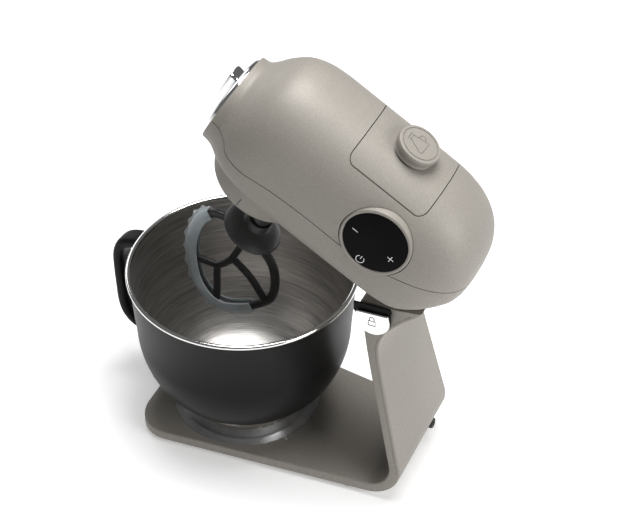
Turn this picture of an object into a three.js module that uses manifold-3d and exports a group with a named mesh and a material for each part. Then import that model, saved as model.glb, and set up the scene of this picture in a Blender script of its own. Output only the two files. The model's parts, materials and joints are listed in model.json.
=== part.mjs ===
// Tilt-head stand mixer: bent-plate stand, tilting head with its drive train, bowl and beater.
// Millimetres, +Z up. The bowl is at the front (-Y), the column at the rear (+Y), and the
// operator's side with the controls is +X. The mixer rests with its head tilted open.
import * as THREE from 'three';
import { mergeVertices } from 'three/addons/utils/BufferGeometryUtils.js';
import Module from 'manifold-3d';

const wasm = await Module();
wasm.setup();

// ---------------------------------------------------------------- driving dimensions
// Heights inside the assembly are measured from the top of the bed, lengths from the bowl's axis.
const FOOT_HEIGHT = 5;
const PLATE = 11.2;
const BOWL_AXIS_Y = -44.93;
const GAP = 0.3;

const BED = { front: -84, cornerRadius: 35, halfWidthAtBowl: 80.6, taper: 0.112, bend: 30 };
const COLUMN = { lean: 0.2355, foot: 193.45, halfWidth: 63.2, taper: 0.09, top: 178 };
const COVER = { bottom: 24 };

const HINGE = { y: 162, z: 200, pinRadius: 4, knuckle: 8, bracket: 15 };
const OPEN_ANGLE = THREE.MathUtils.degToRad(30.2);

const BOWL = { rim: 112, height: 169.3, wall: 1.2, shoulder: 102, shoulderRadius: 105.2,
  flat: 30, bottom: 11, footRadius: 65, roll: 2.3 };
const HANDLE = { width: 22, thickness: 12, turn: THREE.MathUtils.degToRad(5) };

const HEAD = { wall: 2.6, bottom: 223.5, crown: 341.4, halfWidth: 61.5 };
const NOSE = { y: -65.4, z: 260, ring: 45, cap: 40.5 };
const HUB = { radius: 49, bottom: 201, top: 222.8, wall: 3 };
const PLANET = { offset: 21.7, module: 1.4, teeth: 15, ringTeeth: 46 };
const MOTOR = { y: 86, shaft: 4, rotor: 21, stator: 36 };
const COUNTER = { y: 42, module: 2, teeth: 9, gearTeeth: 33 };
const DIAL = { y: 108.2, z: 286.2, x: 56.2, ring: 33, glass: 29.5,
  tilt: THREE.MathUtils.degToRad(6) };
const LID = { front: 44.6, rear: 125.6, halfWidth: 43.4, corner: 8 };
const CAP = { y: 86, top: 353, radius: 20 };
const BEATER = { disc: 150, arm: 4, thickness: 6, hub: 9.5, shaft: 4.2 };
const LEVER = { y: 155.5, z: 203.5, radius: 16.5, pivotY: 167, pivotZ: 211.5, shaft: 3.9, face: 52 };

// ---------------------------------------------------------------- materials
const finish = (color, roughness, metalness) =>
  new THREE.MeshStandardMaterial({ color, roughness, metalness });
const paint = () => finish(0x96918a, 0.42, 0.35);
const blackPlastic = () => finish(0x1c1c1d, 0.5, 0.0);
const blackCoat = () => finish(0x232326, 0.38, 0.4);
const chrome = () => finish(0xe6e8ea, 0.08, 1.0);
const steel = () => finish(0xb9bbbd, 0.28, 1.0);
const rubber = () => finish(0x151515, 0.85, 0.0);
const silicone = () => finish(0xa9b6bb, 0.45, 0.0);
const glass = () => finish(0x060607, 0.04, 0.0);
const brass = () => finish(0xb08d4a, 0.35, 1.0);
const copper = () => finish(0xa8603a, 0.4, 1.0);
const castAlloy = () => finish(0x9c9ea0, 0.5, 0.9);
const nylon = () => finish(0xd9d6cb, 0.55, 0.0);
const circuit = () => finish(0x1f5a37, 0.6, 0.0);
const carbon = () => finish(0x2a2a2c, 0.8, 0.1);

// ---------------------------------------------------------------- solids
function toManifold(geometry) {
  const plain = geometry.clone();
  plain.deleteAttribute('normal');
  plain.deleteAttribute('uv');
  const merged = mergeVertices(plain, 1e-4);
  const corners = merged.index.array;
  const kept = [];
  for (let i = 0; i < corners.length; i += 3) {
    const [a, b, c] = [corners[i], corners[i + 1], corners[i + 2]];
    if (a !== b && b !== c && c !== a) kept.push(a, b, c);
  }
  const body = new wasm.Manifold(new wasm.Mesh({
    numProp: 3,
    vertProperties: new Float32Array(merged.attributes.position.array),
    triVerts: new Uint32Array(kept),
  }));
  return body;
}

function toGeometry(body) {
  const mesh = body.getMesh();
  const geometry = new THREE.BufferGeometry();
  geometry.setAttribute('position', new THREE.BufferAttribute(mesh.vertProperties, 3));
  geometry.setIndex(new THREE.BufferAttribute(mesh.triVerts, 1));
  geometry.computeVertexNormals();
  return geometry;
}

function combine(first, others, method) {
  let body = toManifold(first);
  for (const other of others) body = body[method](toManifold(other));
  return toGeometry(body);
}

const cut = (base, ...tools) => combine(base, tools, 'subtract');
const join = (base, ...parts) => combine(base, parts, 'add');
const common = (base, ...parts) => combine(base, parts, 'intersect');

// Turns a geometry inside out if its signed volume is negative.
function outward(geometry) {
  const flat = geometry.index ? geometry.toNonIndexed() : geometry.clone();
  const p = flat.attributes.position.array;
  let volume = 0;
  for (let i = 0; i < p.length; i += 9) {
    volume += p[i] * (p[i + 4] * p[i + 8] - p[i + 5] * p[i + 7])
      - p[i + 1] * (p[i + 3] * p[i + 8] - p[i + 5] * p[i + 6])
      + p[i + 2] * (p[i + 3] * p[i + 7] - p[i + 4] * p[i + 6]);
  }
  if (volume > 0) return geometry;
  for (let i = 0; i < p.length; i += 9) {
    for (let k = 0; k < 3; k += 1) {
      const swap = p[i + 3 + k];
      p[i + 3 + k] = p[i + 6 + k];
      p[i + 6 + k] = swap;
    }
  }
  return flat;
}

const points2 = (list) => list.map(([x, y]) => new THREE.Vector2(x, y));
const AXES = {
  x: new THREE.Matrix4().makeBasis(
    new THREE.Vector3(0, 1, 0), new THREE.Vector3(0, 0, 1), new THREE.Vector3(1, 0, 0)),
  y: new THREE.Matrix4().makeBasis(
    new THREE.Vector3(0, 0, 1), new THREE.Vector3(1, 0, 0), new THREE.Vector3(0, 1, 0)),
  z: new THREE.Matrix4(),
};

// A straight prism along one axis. The outline is (y, z) for x, (z, x) for y and (x, y) for z.
function prism(axis, outline, from, to, holes = []) {
  const shape = outline instanceof THREE.Shape ? outline : new THREE.Shape(points2(outline));
  for (const hole of holes) shape.holes.push(new THREE.Path(points2(hole)));
  const body = new THREE.ExtrudeGeometry(shape, {
    depth: to - from, bevelEnabled: false, curveSegments: 6,
  });
  body.translate(0, 0, from);
  return body.applyMatrix4(AXES[axis]);
}

// A body turned about one axis from (radius, height) points.
function turned(axis, profile, segments = 28) {
  const body = new THREE.LatheGeometry(points2(profile), segments);
  body.rotateX(Math.PI / 2);
  return toGeometry(toManifold(outward(body.applyMatrix4(AXES[axis]))));
}

const disc = (axis, radius, from, to, segments = 28) =>
  turned(axis, [[0, from], [radius, from], [radius, to], [0, to]], segments);

const tubeOf = (axis, outer, inner, from, to, segments = 20) =>
  turned(axis, [[inner, from], [outer, from], [outer, to], [inner, to], [inner, from]], segments);

function box(x0, x1, y0, y1, z0, z1) {
  const body = new THREE.BoxGeometry(x1 - x0, y1 - y0, z1 - z0);
  return body.translate((x0 + x1) / 2, (y0 + y1) / 2, (z0 + z1) / 2);
}

// A body through a list of rings of equal length, closed by a fan at each end.
function loft(rings) {
  const count = rings[0].length;
  const positions = rings.flat(2);
  const index = [];
  for (let r = 0; r < rings.length - 1; r += 1) {
    for (let i = 0; i < count; i += 1) {
      const a = r * count + i;
      const b = r * count + (i + 1) % count;
      index.push(a, b, b + count, a, b + count, a + count);
    }
  }
  for (const r of [0, rings.length - 1]) {
    const centre = positions.length / 3;
    const middle = [0, 1, 2].map((k) => rings[r].reduce((sum, p) => sum + p[k], 0) / count);
    positions.push(...middle);
    for (let i = 0; i < count; i += 1) {
      const a = r * count + i;
      const b = r * count + (i + 1) % count;
      index.push(centre, ...(r === 0 ? [b, a] : [a, b]));
    }
  }
  const body = new THREE.BufferGeometry();
  body.setAttribute('position', new THREE.Float32BufferAttribute(positions, 3));
  body.setIndex(index);
  return toGeometry(toManifold(outward(body)));
}

const arc = (cx, cy, radius, start, end, steps) => Array.from({ length: steps + 1 }, (_, i) => {
  const angle = THREE.MathUtils.degToRad(start + (end - start) * i / steps);
  return [cx + radius * Math.cos(angle), cy + radius * Math.sin(angle)];
});

const circle = (cx, cy, radius, steps = 28) => arc(cx, cy, radius, 0, 360, steps).slice(0, -1);

function roundedBox(x0, x1, y0, y1, radius, steps = 3) {
  return [
    ...arc(x1 - radius, y1 - radius, radius, 0, 90, steps),
    ...arc(x0 + radius, y1 - radius, radius, 90, 180, steps),
    ...arc(x0 + radius, y0 + radius, radius, 180, 270, steps),
    ...arc(x1 - radius, y0 + radius, radius, 270, 360, steps),
  ];
}

// A straight-sided gear outline. Teeth stand outside the pitch circle, or inside it on a ring.
function gearOutline(teeth, module, inside = false, phase = 0) {
  const pitch = teeth * module / 2;
  const tip = pitch + (inside ? -0.75 : 0.75) * module;
  const root = pitch + (inside ? 1.15 : -1.15) * module;
  const outline = [];
  for (let i = 0; i < teeth; i += 1) {
    for (const [step, radius] of [[-0.31, root], [-0.13, tip], [0.13, tip], [0.31, root]]) {
      const angle = (i + step + phase) * 2 * Math.PI / teeth;
      outline.push([radius * Math.cos(angle), radius * Math.sin(angle)]);
    }
  }
  return outline;
}

const mixer = new THREE.Group();

function add(parent, name, geometry, material, position = [0, 0, 0]) {
  const mesh = new THREE.Mesh(geometry, material);
  mesh.name = name;
  mesh.position.set(...position);
  parent.add(mesh);
  return mesh;
}

// ---------------------------------------------------------------- stand
const columnCentre = (z) => COLUMN.foot - COLUMN.lean * z;
const columnHalfWidth = (z) => COLUMN.halfWidth - COLUMN.taper * z;
const bedHalfWidth = (y) => BED.halfWidthAtBowl - BED.taper * y;

// Stations down the middle of the bent plate: position, direction and half-width of each.
function plateStations() {
  const lean = Math.atan(COLUMN.lean);
  const turn = Math.PI / 2 + lean;
  const corner = columnCentre(-PLATE / 2);
  const tangent = BED.bend * Math.tan(turn / 2);
  const start = corner - tangent;
  const stations = [];
  for (const along of [0, 3, 8, 15, 24, 35]) {
    const y = BED.front + along;
    const inset = BED.cornerRadius - Math.sqrt(BED.cornerRadius ** 2
      - (BED.cornerRadius - along) ** 2);
    stations.push({ y, z: -PLATE / 2, angle: 0, half: bedHalfWidth(y) - inset });
  }
  stations.push({ y: 60, z: -PLATE / 2, angle: 0, half: bedHalfWidth(60) });
  const bendSteps = 8;
  for (let i = 0; i <= bendSteps; i += 1) {
    const angle = turn * i / bendSteps;
    const y = start + BED.bend * Math.sin(angle);
    const z = -PLATE / 2 + BED.bend * (1 - Math.cos(angle));
    const half = THREE.MathUtils.lerp(bedHalfWidth(start), columnHalfWidth(34), i / bendSteps);
    stations.push({ y, z, angle, half });
  }
  stations.push({ y: columnCentre(COLUMN.top), z: COLUMN.top, angle: turn,
    half: columnHalfWidth(COLUMN.top) });
  return stations;
}

function bentPlate() {
  const edge = 1.6;
  const half = PLATE / 2;
  return loft(plateStations().map(({ y, z, angle, half: wide }) => [
    [-wide, -half + edge], [-wide + edge, -half], [wide - edge, -half], [wide, -half + edge],
    [wide, half - edge], [wide - edge, half], [-wide + edge, half], [-wide, half - edge],
  ].map(([x, off]) => [x, y - off * Math.sin(angle), z + off * Math.cos(angle)])));
}

// Side outline of the neck that widens from the column's top to carry the hinge.
function neckOutline() {
  const front = columnCentre(150) - PLATE / 2;
  return [
    [front, 150], [146, 183], [141.5, 204], [140, 213], [144, 217], [178, 217], [199, 220.5],
    [196, 217], [188, 209], [178.5, 200.5], [168.5, 188.5], [163, 177], [161, 168],
    [columnCentre(150) + PLATE / 2, 150],
  ];
}

function narrowed(geometry) {
  const place = geometry.attributes.position;
  for (let i = 0; i < place.count; i += 1) {
    place.setX(i, place.getX(i) * columnHalfWidth(place.getZ(i)));
  }
  return geometry;
}

const neck = () => narrowed(prism('x', neckOutline(), -1, 1));

// The rear skin follows the column and the flare of the neck, a cover's thickness deep.
function rearSkin(depth, clearance) {
  const rear = [[columnCentre(COVER.bottom) + 5.6, COVER.bottom - clearance],
    [columnCentre(150) + 5.6, 150], [161, 168], [163, 177], [168.5, 188.5], [178.5, 200.5],
    [188, 209], [191.4, 212 + clearance]];
  const outer = rear.map(([y, z]) => [y + 6, z]);
  const inner = rear.map(([y, z]) => [y - depth, z + (z > 190 ? depth * 0.55 : 0)]).reverse();
  return prism('x', [...outer, ...inner], -90, 90);
}

const standBody = () => join(bentPlate(), neck());

// The slot that the head's bracket swings in: round below the pin and open to the top and front.
const hingeSlot = prism('x', [[120, 213], [147.6, 213], [152.6, 206.4],
  ...arc(HINGE.y, HINGE.z, HINGE.knuckle + 1, 180, 360, 8), [176, 217], [176, 240], [120, 240]], -23, 23);
const pinBore = disc('x', HINGE.pinRadius + 1.8, -30, 30, 16).translate(0, HINGE.y, HINGE.z);
const leverBore = disc('x', LEVER.shaft + GAP, 20, 60, 16).translate(0, LEVER.pivotY, LEVER.pivotZ);
const glandBore = disc('y', 6, 178, 210, 16).translate(-32, 0, 7);

const stand = new THREE.Group();
stand.position.set(0, BOWL_AXIS_Y, FOOT_HEIGHT + PLATE);
mixer.add(stand);

const underPlate = (inset, from, to) => {
  const front = BED.front + inset;
  const rear = 150 - inset;
  const outline = [
    ...arc(-(bedHalfWidth(front + 32) - inset) + 30, front + 30, 30, 180, 270, 4),
    ...arc(bedHalfWidth(front + 32) - inset - 30, front + 30, 30, 270, 360, 4),
    [bedHalfWidth(rear) - inset, rear], [-bedHalfWidth(rear) + inset, rear],
  ];
  return prism('z', outline, from, to);
};

const wiringChannel = prism('x', [[196, 34], [190, 34], [columnCentre(160) - 2, 160],
  [columnCentre(160) + 8, 160]], -34, 34);
add(stand, 'stand', cut(standBody(), underPlate(5, -PLATE - 1, -4), rearSkin(3 + GAP, GAP),
  hingeSlot, pinBore, leverBore, glandBore, disc('z', 75, -3, 1, 40), wiringChannel), paint());
add(stand, 'rear_cover', common(standBody(), rearSkin(3, 0)), paint());
add(stand, 'base_plate', underPlate(5 + GAP, -PLATE, -PLATE + 2), blackPlastic());

// ---------------------------------------------------------------- feet
const FOOT_PLACES = [['front_right', 66, -52], ['front_left', -66, -52],
  ['rear_right', 52, 138], ['rear_left', -52, 138]];
for (const [corner, x, y] of FOOT_PLACES) {
  const profile = [[0, -FOOT_HEIGHT], [8, -FOOT_HEIGHT], [9, -FOOT_HEIGHT + 1], [9.6, -GAP],
    [0, -GAP]];
  add(stand, `foot_${corner}`, turned('z', profile, 16), rubber(), [x, y, -PLATE]);
}

// ---------------------------------------------------------------- bowl seat
const seatRing = tubeOf('z', 74.6, 50, -2.7, -0.6, 40);
add(stand, 'bowl_seat', seatRing, castAlloy());

// ---------------------------------------------------------------- hinge and lock
add(stand, 'hinge_pin', disc('x', HINGE.pinRadius, -28.5, 28.5, 16), steel(),
  [0, HINGE.y, HINGE.z]);
for (const [side, from] of [['left', -28.5], ['right', 23.5]]) {
  const bush = tubeOf('x', HINGE.pinRadius + 1.5, HINGE.pinRadius + GAP, from, from + 5, 16);
  add(stand, `hinge_bush_${side}`, bush, brass(), [0, HINGE.y, HINGE.z]);
}

function leverOutline(grow, front) {
  const { y, z, radius } = LEVER;
  return [...arc(y, z, radius + grow, 0, -180, 12), [y - radius - grow - front, z + 4],
    [y - radius - front, z + 14 + grow], [y + radius - 0.5, z + 16 + grow]];
}
add(stand, 'lock_lever', prism('x', leverOutline(0, 0), LEVER.face - 3, LEVER.face), chrome());
add(stand, 'lock_lever_body', join(prism('x', leverOutline(0, 3), 46.9, LEVER.face - 3 - GAP),
  disc('x', LEVER.shaft, 24, 47, 16).translate(0, LEVER.pivotY, LEVER.pivotZ)), blackCoat());
add(stand, 'latch_pawl', prism('x', [...arc(LEVER.pivotY, LEVER.pivotZ, 5, -90, 90, 6),
  [153, 215.5], [153, 209]], 16.2, 23.7 - 1.4), steel());
add(stand, 'cord_gland', turned('y', [[0, 180], [5.7, 180], [5.7, 190], [5, 191.6], [2.4, 191.6],
  [2.4, 189], [0, 189]], 16), rubber(), [-32, 0, 7]);

// ---------------------------------------------------------------- bowl
const bowlOuter = (drop) => Array.from({ length: 9 }, (_, i) => {
  const angle = i * Math.PI / 16;
  const reach = BOWL.shoulderRadius - BOWL.flat - drop;
  return [BOWL.flat + reach * Math.cos(angle),
    BOWL.shoulder - (BOWL.shoulder - BOWL.bottom - drop) * Math.sin(angle)];
});
const rollCentre = [BOWL.rim - BOWL.roll, BOWL.height - BOWL.roll];
const bowlProfile = [[0, BOWL.bottom], ...bowlOuter(0).reverse(),
  [rollCentre[0] - 0.3, rollCentre[1] - 3.6],
  ...arc(...rollCentre, BOWL.roll, -75, 170, 5),
  [BOWL.shoulderRadius - BOWL.wall, BOWL.shoulder], ...bowlOuter(BOWL.wall).slice(1),
  [0, BOWL.bottom + BOWL.wall]];
add(stand, 'bowl', turned('z', bowlProfile, 36), blackCoat());

const bowlHeightAt = (radius) => BOWL.shoulder - (BOWL.shoulder - BOWL.bottom)
  * Math.sqrt(1 - ((radius - BOWL.flat) / (BOWL.shoulderRadius - BOWL.flat)) ** 2);
const footOuter = BOWL.footRadius;
const footInner = footOuter - 1.6;
add(stand, 'bowl_foot_ring', turned('z', [[footInner - 2.5, -0.3], [footOuter, -0.3],
  [footOuter, bowlHeightAt(footOuter) - 0.5], [footInner, bowlHeightAt(footInner) - 0.5],
  [footInner, 1.2], [footInner - 2.5, 1.2], [footInner - 2.5, -0.3]], 28), steel());

// The handle is a closed loop of a flat bar that stands off the bowl's front.
function handle() {
  const spine = [[104, 153], [122, 151.5], [136, 145], [142.5, 132], [143.8, 116], [143.3, 93],
    [141.8, 66], [136, 51], [123, 43], [104, 44], [84, 50]];
  const route = new THREE.CatmullRomCurve3(spine.map(([r, z]) => new THREE.Vector3(r, 0, z)));
  const { width, thickness } = HANDLE;
  const section = new THREE.Shape(points2(roundedBox(-width / 2, width / 2, -thickness / 2,
    thickness / 2, 3.5, 2)));
  const bar = new THREE.ExtrudeGeometry(section, { steps: 22, extrudePath: route,
    bevelEnabled: false });
  const bowlSpace = turned('z', [[0, 0], [70, 0], ...bowlOuter(-0.5).reverse().slice(3),
    [BOWL.rim, 164.5], [BOWL.rim + 0.5, 175], [0, 175]], 36);
  bowlSpace.rotateZ(Math.PI / 2);
  return cut(bar, bowlSpace).rotateZ(-Math.PI / 2 - HANDLE.turn);
}
add(stand, 'bowl_handle', handle(), blackCoat());

// ---------------------------------------------------------------- head
const headPivot = new THREE.Group();
headPivot.position.set(0, HINGE.y, HINGE.z);
headPivot.rotation.x = -OPEN_ANGLE;
stand.add(headPivot);
// Inside this group the head is described as it stands when it is closed over the bowl.
const head = new THREE.Group();
head.position.set(0, -HINGE.y, -HINGE.z);
headPivot.add(head);

// Stations along the closed head: y, half-width, top, bottom, squareness above and below.
const HEAD_STATIONS = [
  [-65.4, 42.2, 302.2, 217.8, 2, 2], [-64, 43.4, 303.4, 216.6, 2, 2], [-57, 44.4, 304.4, 215.6, 2, 2],
  [-51, 48, 311.7, 216, 2.03, 2.1], [-44, 52.9, 322.3, 218.5, 2.08, 2.5],
  [-32, 58.2, 334.2, 222, 2.16, 3.4], [-16, 60.8, 340, 223.4, 2.26, 5],
  [2, 61.4, 341.3, 223.5, 2.32, 6.5], [24, 61.5, 341.4, 223.5, 2.32, 7],
  [60, 61.5, 341.4, 223.5, 2.32, 7], [100, 61.5, 341.4, 223.5, 2.32, 7],
  [130, 61.2, 341, 223.5, 2.32, 7], [145, 60.4, 339, 223.6, 2.29, 6.5],
  [158, 58.7, 335, 225, 2.27, 6], [170, 55.6, 328.5, 231, 2.25, 5], [180, 51.2, 320, 238.5, 2.25, 4],
  [188, 45.6, 310, 246, 2.2, 3], [194, 38.5, 298.5, 254, 2.1, 2.5], [197.6, 28, 286, 262, 2.05, 2.2],
];
const headMiddle = (y) => THREE.MathUtils.lerp(NOSE.z, 270, THREE.MathUtils.smoothstep(y, -50, 10));

function headRing([y, half, top, bottom, above, below], inset, shift) {
  const steps = 28;
  const middle = headMiddle(y);
  return Array.from({ length: steps }, (_, i) => {
    const angle = 2 * Math.PI * i / steps;
    const [c, s] = [Math.cos(angle), Math.sin(angle)];
    const power = 2 / (s >= 0 ? above : below);
    const rise = s >= 0 ? top - inset - middle : middle - bottom - inset;
    return [(half - inset) * Math.sign(c) * Math.abs(c) ** power, y + shift,
      middle + rise * Math.sign(s) * Math.abs(s) ** power];
  });
}

const headSolid = () => loft(HEAD_STATIONS.map((station) => headRing(station, 0, 0)));
const headHollow = () => loft(HEAD_STATIONS.filter((_, i) => i % 2 === 0 || i > 14)
  .map((station) => headRing(station, HEAD.wall, station[0] > 170 ? -HEAD.wall
    : station[0] < -60 ? HEAD.wall : 0)));
const headSkin = () => cut(headSolid(), headHollow());

const SEAM = [[-90, 263], [-49, 262], [-39, 255], [-20, 253], [-5, 255.5], [15, 258.5], [45, 260],
  [91, 260], [125, 264.5], [147, 270], [175, 278], [220, 292]];
const aboveSeam = (drop) => prism('x', [...SEAM.map(([y, z]) => [y, z + drop]), [220, 380],
  [-90, 380]], -80, 80);

const lidOutline = (grow) => roundedBox(-LID.halfWidth - grow, LID.halfWidth + grow,
  LID.front - grow, LID.rear + grow, LID.corner);
const lidSpace = (grow) => prism('z', lidOutline(grow), 310, 370);
const dialPlaced = (geometry) => geometry.rotateY(-DIAL.tilt).translate(DIAL.x, DIAL.y, DIAL.z);
const dialSpace = () => dialPlaced(disc('x', DIAL.ring + GAP, -8, 20, 32));
const noseSpace = disc('y', NOSE.cap + GAP, -80, -60, 28).translate(0, 0, NOSE.z);

add(head, 'head_top_shell', cut(common(headSkin(), aboveSeam(GAP / 2)), lidSpace(GAP), dialSpace(),
  noseSpace), paint());
add(head, 'head_lower_shell', cut(headSkin(), aboveSeam(-GAP / 2), dialSpace(), noseSpace,
  disc('z', 42, 200, 240, 28),
  disc('z', HUB.radius + 0.8, 190, HUB.top + 0.5, 28)), paint());
add(head, 'top_cover', cut(common(headSkin(), lidSpace(0)),
  disc('z', 15.3, 330, 350, 24).translate(0, CAP.y, 0)), paint());
add(head, 'blender_cap', turned('z', [[0, 336], [15, 336], [15, CAP.top - 11],
  [15.6, CAP.top - 11], [CAP.radius, CAP.top - 9.5], [CAP.radius, CAP.top - 1],
  [CAP.radius - 1, CAP.top], [16.5, CAP.top], [16.2, CAP.top - 0.8], [0, CAP.top - 0.8]], 24),
paint(), [0, CAP.y, 0]);

// ---------------------------------------------------------------- front attachment hub
const capDome = turned('y', [[0, -3], [NOSE.cap, -3], [NOSE.cap, 0.6], [35, 3.4], [24, 6], [12, 7.4],
  [0, 7.8]], 28);
capDome.rotateX(Math.PI);
const grip = prism('y', roundedBox(-6, 27, -8.5, 8.5, 3, 2), 1, 12.5);
grip.rotateX(Math.PI);
grip.scale(1, 1, -1);
add(head, 'front_hub_cap', join(capDome, outward(grip)), chrome(), [0, NOSE.y, NOSE.z]);
add(head, 'front_hub_socket', tubeOf('y', 17, 12.5, -56, -44, 24), blackPlastic(), [0, 0, NOSE.z]);
const frontShaft = join(disc('y', 5, -54, -16, 16), turned('y', [[0, -17], [14, -17], [8.6, -9.5],
  [0, -9.5]], 24));
add(head, 'front_hub_drive', frontShaft, steel(), [0, 0, NOSE.z]);

// ---------------------------------------------------------------- controls
add(head, 'control_ring', dialPlaced(turned('x', [[0, -6], [DIAL.ring, -6], [DIAL.ring, 3.2],
  [DIAL.ring - 1, 4], [DIAL.glass + 0.6, 4], [DIAL.glass + 0.3, 3.4], [DIAL.glass + 0.3, -0.4],
  [DIAL.glass - 2, -0.4], [DIAL.glass - 2, -4.6], [0, -4.6]], 28)), paint());
add(head, 'control_glass', dialPlaced(disc('x', DIAL.glass, -0.1, 3, 28)), glass());
add(head, 'control_board', dialPlaced(disc('x', 25.5, -4.2, -2.8, 20)), circuit());

// ---------------------------------------------------------------- motor
const atMotor = [0, MOTOR.y, 0];
add(head, 'motor_shaft', disc('z', MOTOR.shaft, 228, 328, 12), steel(), atMotor);
add(head, 'motor_rotor', tubeOf('z', MOTOR.rotor, MOTOR.shaft + GAP, 266, 304, 24), steel(),
  atMotor);
add(head, 'motor_stator', tubeOf('z', MOTOR.stator, MOTOR.rotor + 1.5, 264, 306, 28), copper(),
  atMotor);
add(head, 'motor_commutator', tubeOf('z', 11, MOTOR.shaft + GAP, 308, 318, 20), copper(), atMotor);
for (const [side, x] of [['left', -1], ['right', 1]]) {
  add(head, `carbon_brush_${side}`, box(Math.min(11.5 * x, 26 * x), Math.max(11.5 * x, 26 * x), -3, 3,
    310, 316), carbon(), atMotor);
}
const fanBlades = Array.from({ length: 7 }, (_, i) => box(7, 26, -1, 1, 256.4, 261)
  .rotateZ(i * 2 * Math.PI / 7));
add(head, 'motor_fan', join(tubeOf('z', 9, MOTOR.shaft + GAP, 254.6, 261, 20),
  tubeOf('z', 27, 8, 254.8, 256.6, 24), ...fanBlades), blackPlastic(), atMotor);
add(head, 'motor_pulley', turned('z', [[MOTOR.shaft + GAP, 243], [11, 243], [11, 244.5], [9, 245],
  [9, 252], [11, 252.5], [11, 254], [MOTOR.shaft + GAP, 254], [MOTOR.shaft + GAP, 243]], 24),
steel(), atMotor);
add(head, 'blender_drive', turned('z', [[MOTOR.shaft + GAP, 320], [9, 320], [9, 324], [7, 332],
  [0, 332], [0, 328.4], [MOTOR.shaft + GAP, 328.4], [MOTOR.shaft + GAP, 320]], 12),
blackPlastic(), atMotor);

// ---------------------------------------------------------------- gearbox
const beltLoop = (offset) => {
  const [big, small] = [24, 9];
  const span = MOTOR.y - COUNTER.y;
  const lean = THREE.MathUtils.radToDeg(Math.asin((big - small) / span));
  return [...arc(0, COUNTER.y, big + offset, 180 - lean, 360 + lean, 20),
    ...arc(0, MOTOR.y, small + offset, lean, 180 - lean, 8)];
};
add(head, 'drive_belt', prism('z', beltLoop(1.8), 245.4, 251.6, [beltLoop(GAP).reverse()]), rubber());
const atCounter = [0, COUNTER.y, 0];
add(head, 'countershaft', disc('z', 4, 228, 258, 12), steel(), atCounter);
add(head, 'countershaft_pulley', turned('z', [[4.3, 243], [26, 243], [26, 244.5], [24, 245],
  [24, 252], [26, 252.5], [26, 254], [4.3, 254], [4.3, 243]], 24), castAlloy(), atCounter);
add(head, 'countershaft_pinion', prism('z', gearOutline(COUNTER.teeth, COUNTER.module, false,
  COUNTER.teeth * 0.75), 230, 240,
  [circle(0, 0, 4.3, 12).reverse()]), steel(), atCounter);
add(head, 'main_gear', prism('z', gearOutline(COUNTER.gearTeeth, COUNTER.module, false,
  COUNTER.gearTeeth / 4 + 0.5), 230, 240, [circle(0, 0, 6.3, 16).reverse()]), nylon());
add(head, 'main_bevel_gear', turned('z', [[6.3, 241], [14, 241], [14, 244.7], [8.6, 250],
  [6.3, 250], [6.3, 241]], 24), steel());
add(head, 'main_shaft', turned('z', [[0, 204.4], [6, 204.4], [6, 249.4], [0, 249.4]], 16), steel());
add(head, 'main_bearing', tubeOf('z', 13, 6.3, 222.8, 229.4, 20), steel());
add(head, 'gearbox_plate', cut(prism('z', [...arc(0, 0, 30, 180, 360, 10), [34, 20], [34, 60],
  [-34, 60], [-34, 20]], 226.8, 229.4), disc('z', 13.4, 220, 232, 20),
disc('z', 4.4, 220, 232, 12).translate(0, COUNTER.y, 0)), castAlloy());

// ---------------------------------------------------------------- planetary drive
const ringPitch = PLANET.ringTeeth * PLANET.module / 2;
add(head, 'ring_gear', prism('z', circle(0, 0, ringPitch + 5.4, 40), 208, 222,
  [gearOutline(PLANET.ringTeeth, PLANET.module, true, PLANET.ringTeeth / 4 + 0.5).reverse()]),
castAlloy());
add(head, 'planetary_hub', cut(turned('z', [[6.3, 204], [6.3, HUB.bottom + 2.4], [0, HUB.bottom + 2.4],
  [0, HUB.bottom], [HUB.radius - 5, HUB.bottom], [HUB.radius - 1.5, HUB.bottom + 1.5],
  [HUB.radius, HUB.bottom + 5], [HUB.radius, HUB.top], [HUB.radius - HUB.wall, HUB.top],
  [HUB.radius - HUB.wall, 206], [10, 206], [10, 212], [6.3, 212], [6.3, 204]], 28),
disc('z', BEATER.shaft + GAP, 190, 215, 16).translate(0, PLANET.offset, 0)), paint());
const atPlanet = [0, PLANET.offset, 0];
add(head, 'planet_pinion', prism('z', gearOutline(PLANET.teeth, PLANET.module, false,
  PLANET.teeth / 4), 209, 221,
  [circle(0, 0, BEATER.shaft + GAP, 14).reverse()]), steel(), atPlanet);
add(head, 'beater_shaft', disc('z', BEATER.shaft, 137, 221.5, 14), steel(), atPlanet);
add(head, 'drive_pin', join(box(-8.4, -BEATER.shaft - GAP, -1.4, 1.4, 168, 170.8)), steel(), atPlanet);

// ---------------------------------------------------------------- beater
const discTop = BEATER.disc;
add(head, 'splash_disc', turned('z', [[10, discTop + 1], [11, discTop - 1.2], [28.4, discTop - 8.4],
  [29, discTop - 7.6], [24, discTop - 3], [12.6, discTop + 2.4], [12, discTop + 10],
  [10, discTop + 10], [10, discTop + 1]], 24), blackPlastic(), atPlanet);

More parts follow.
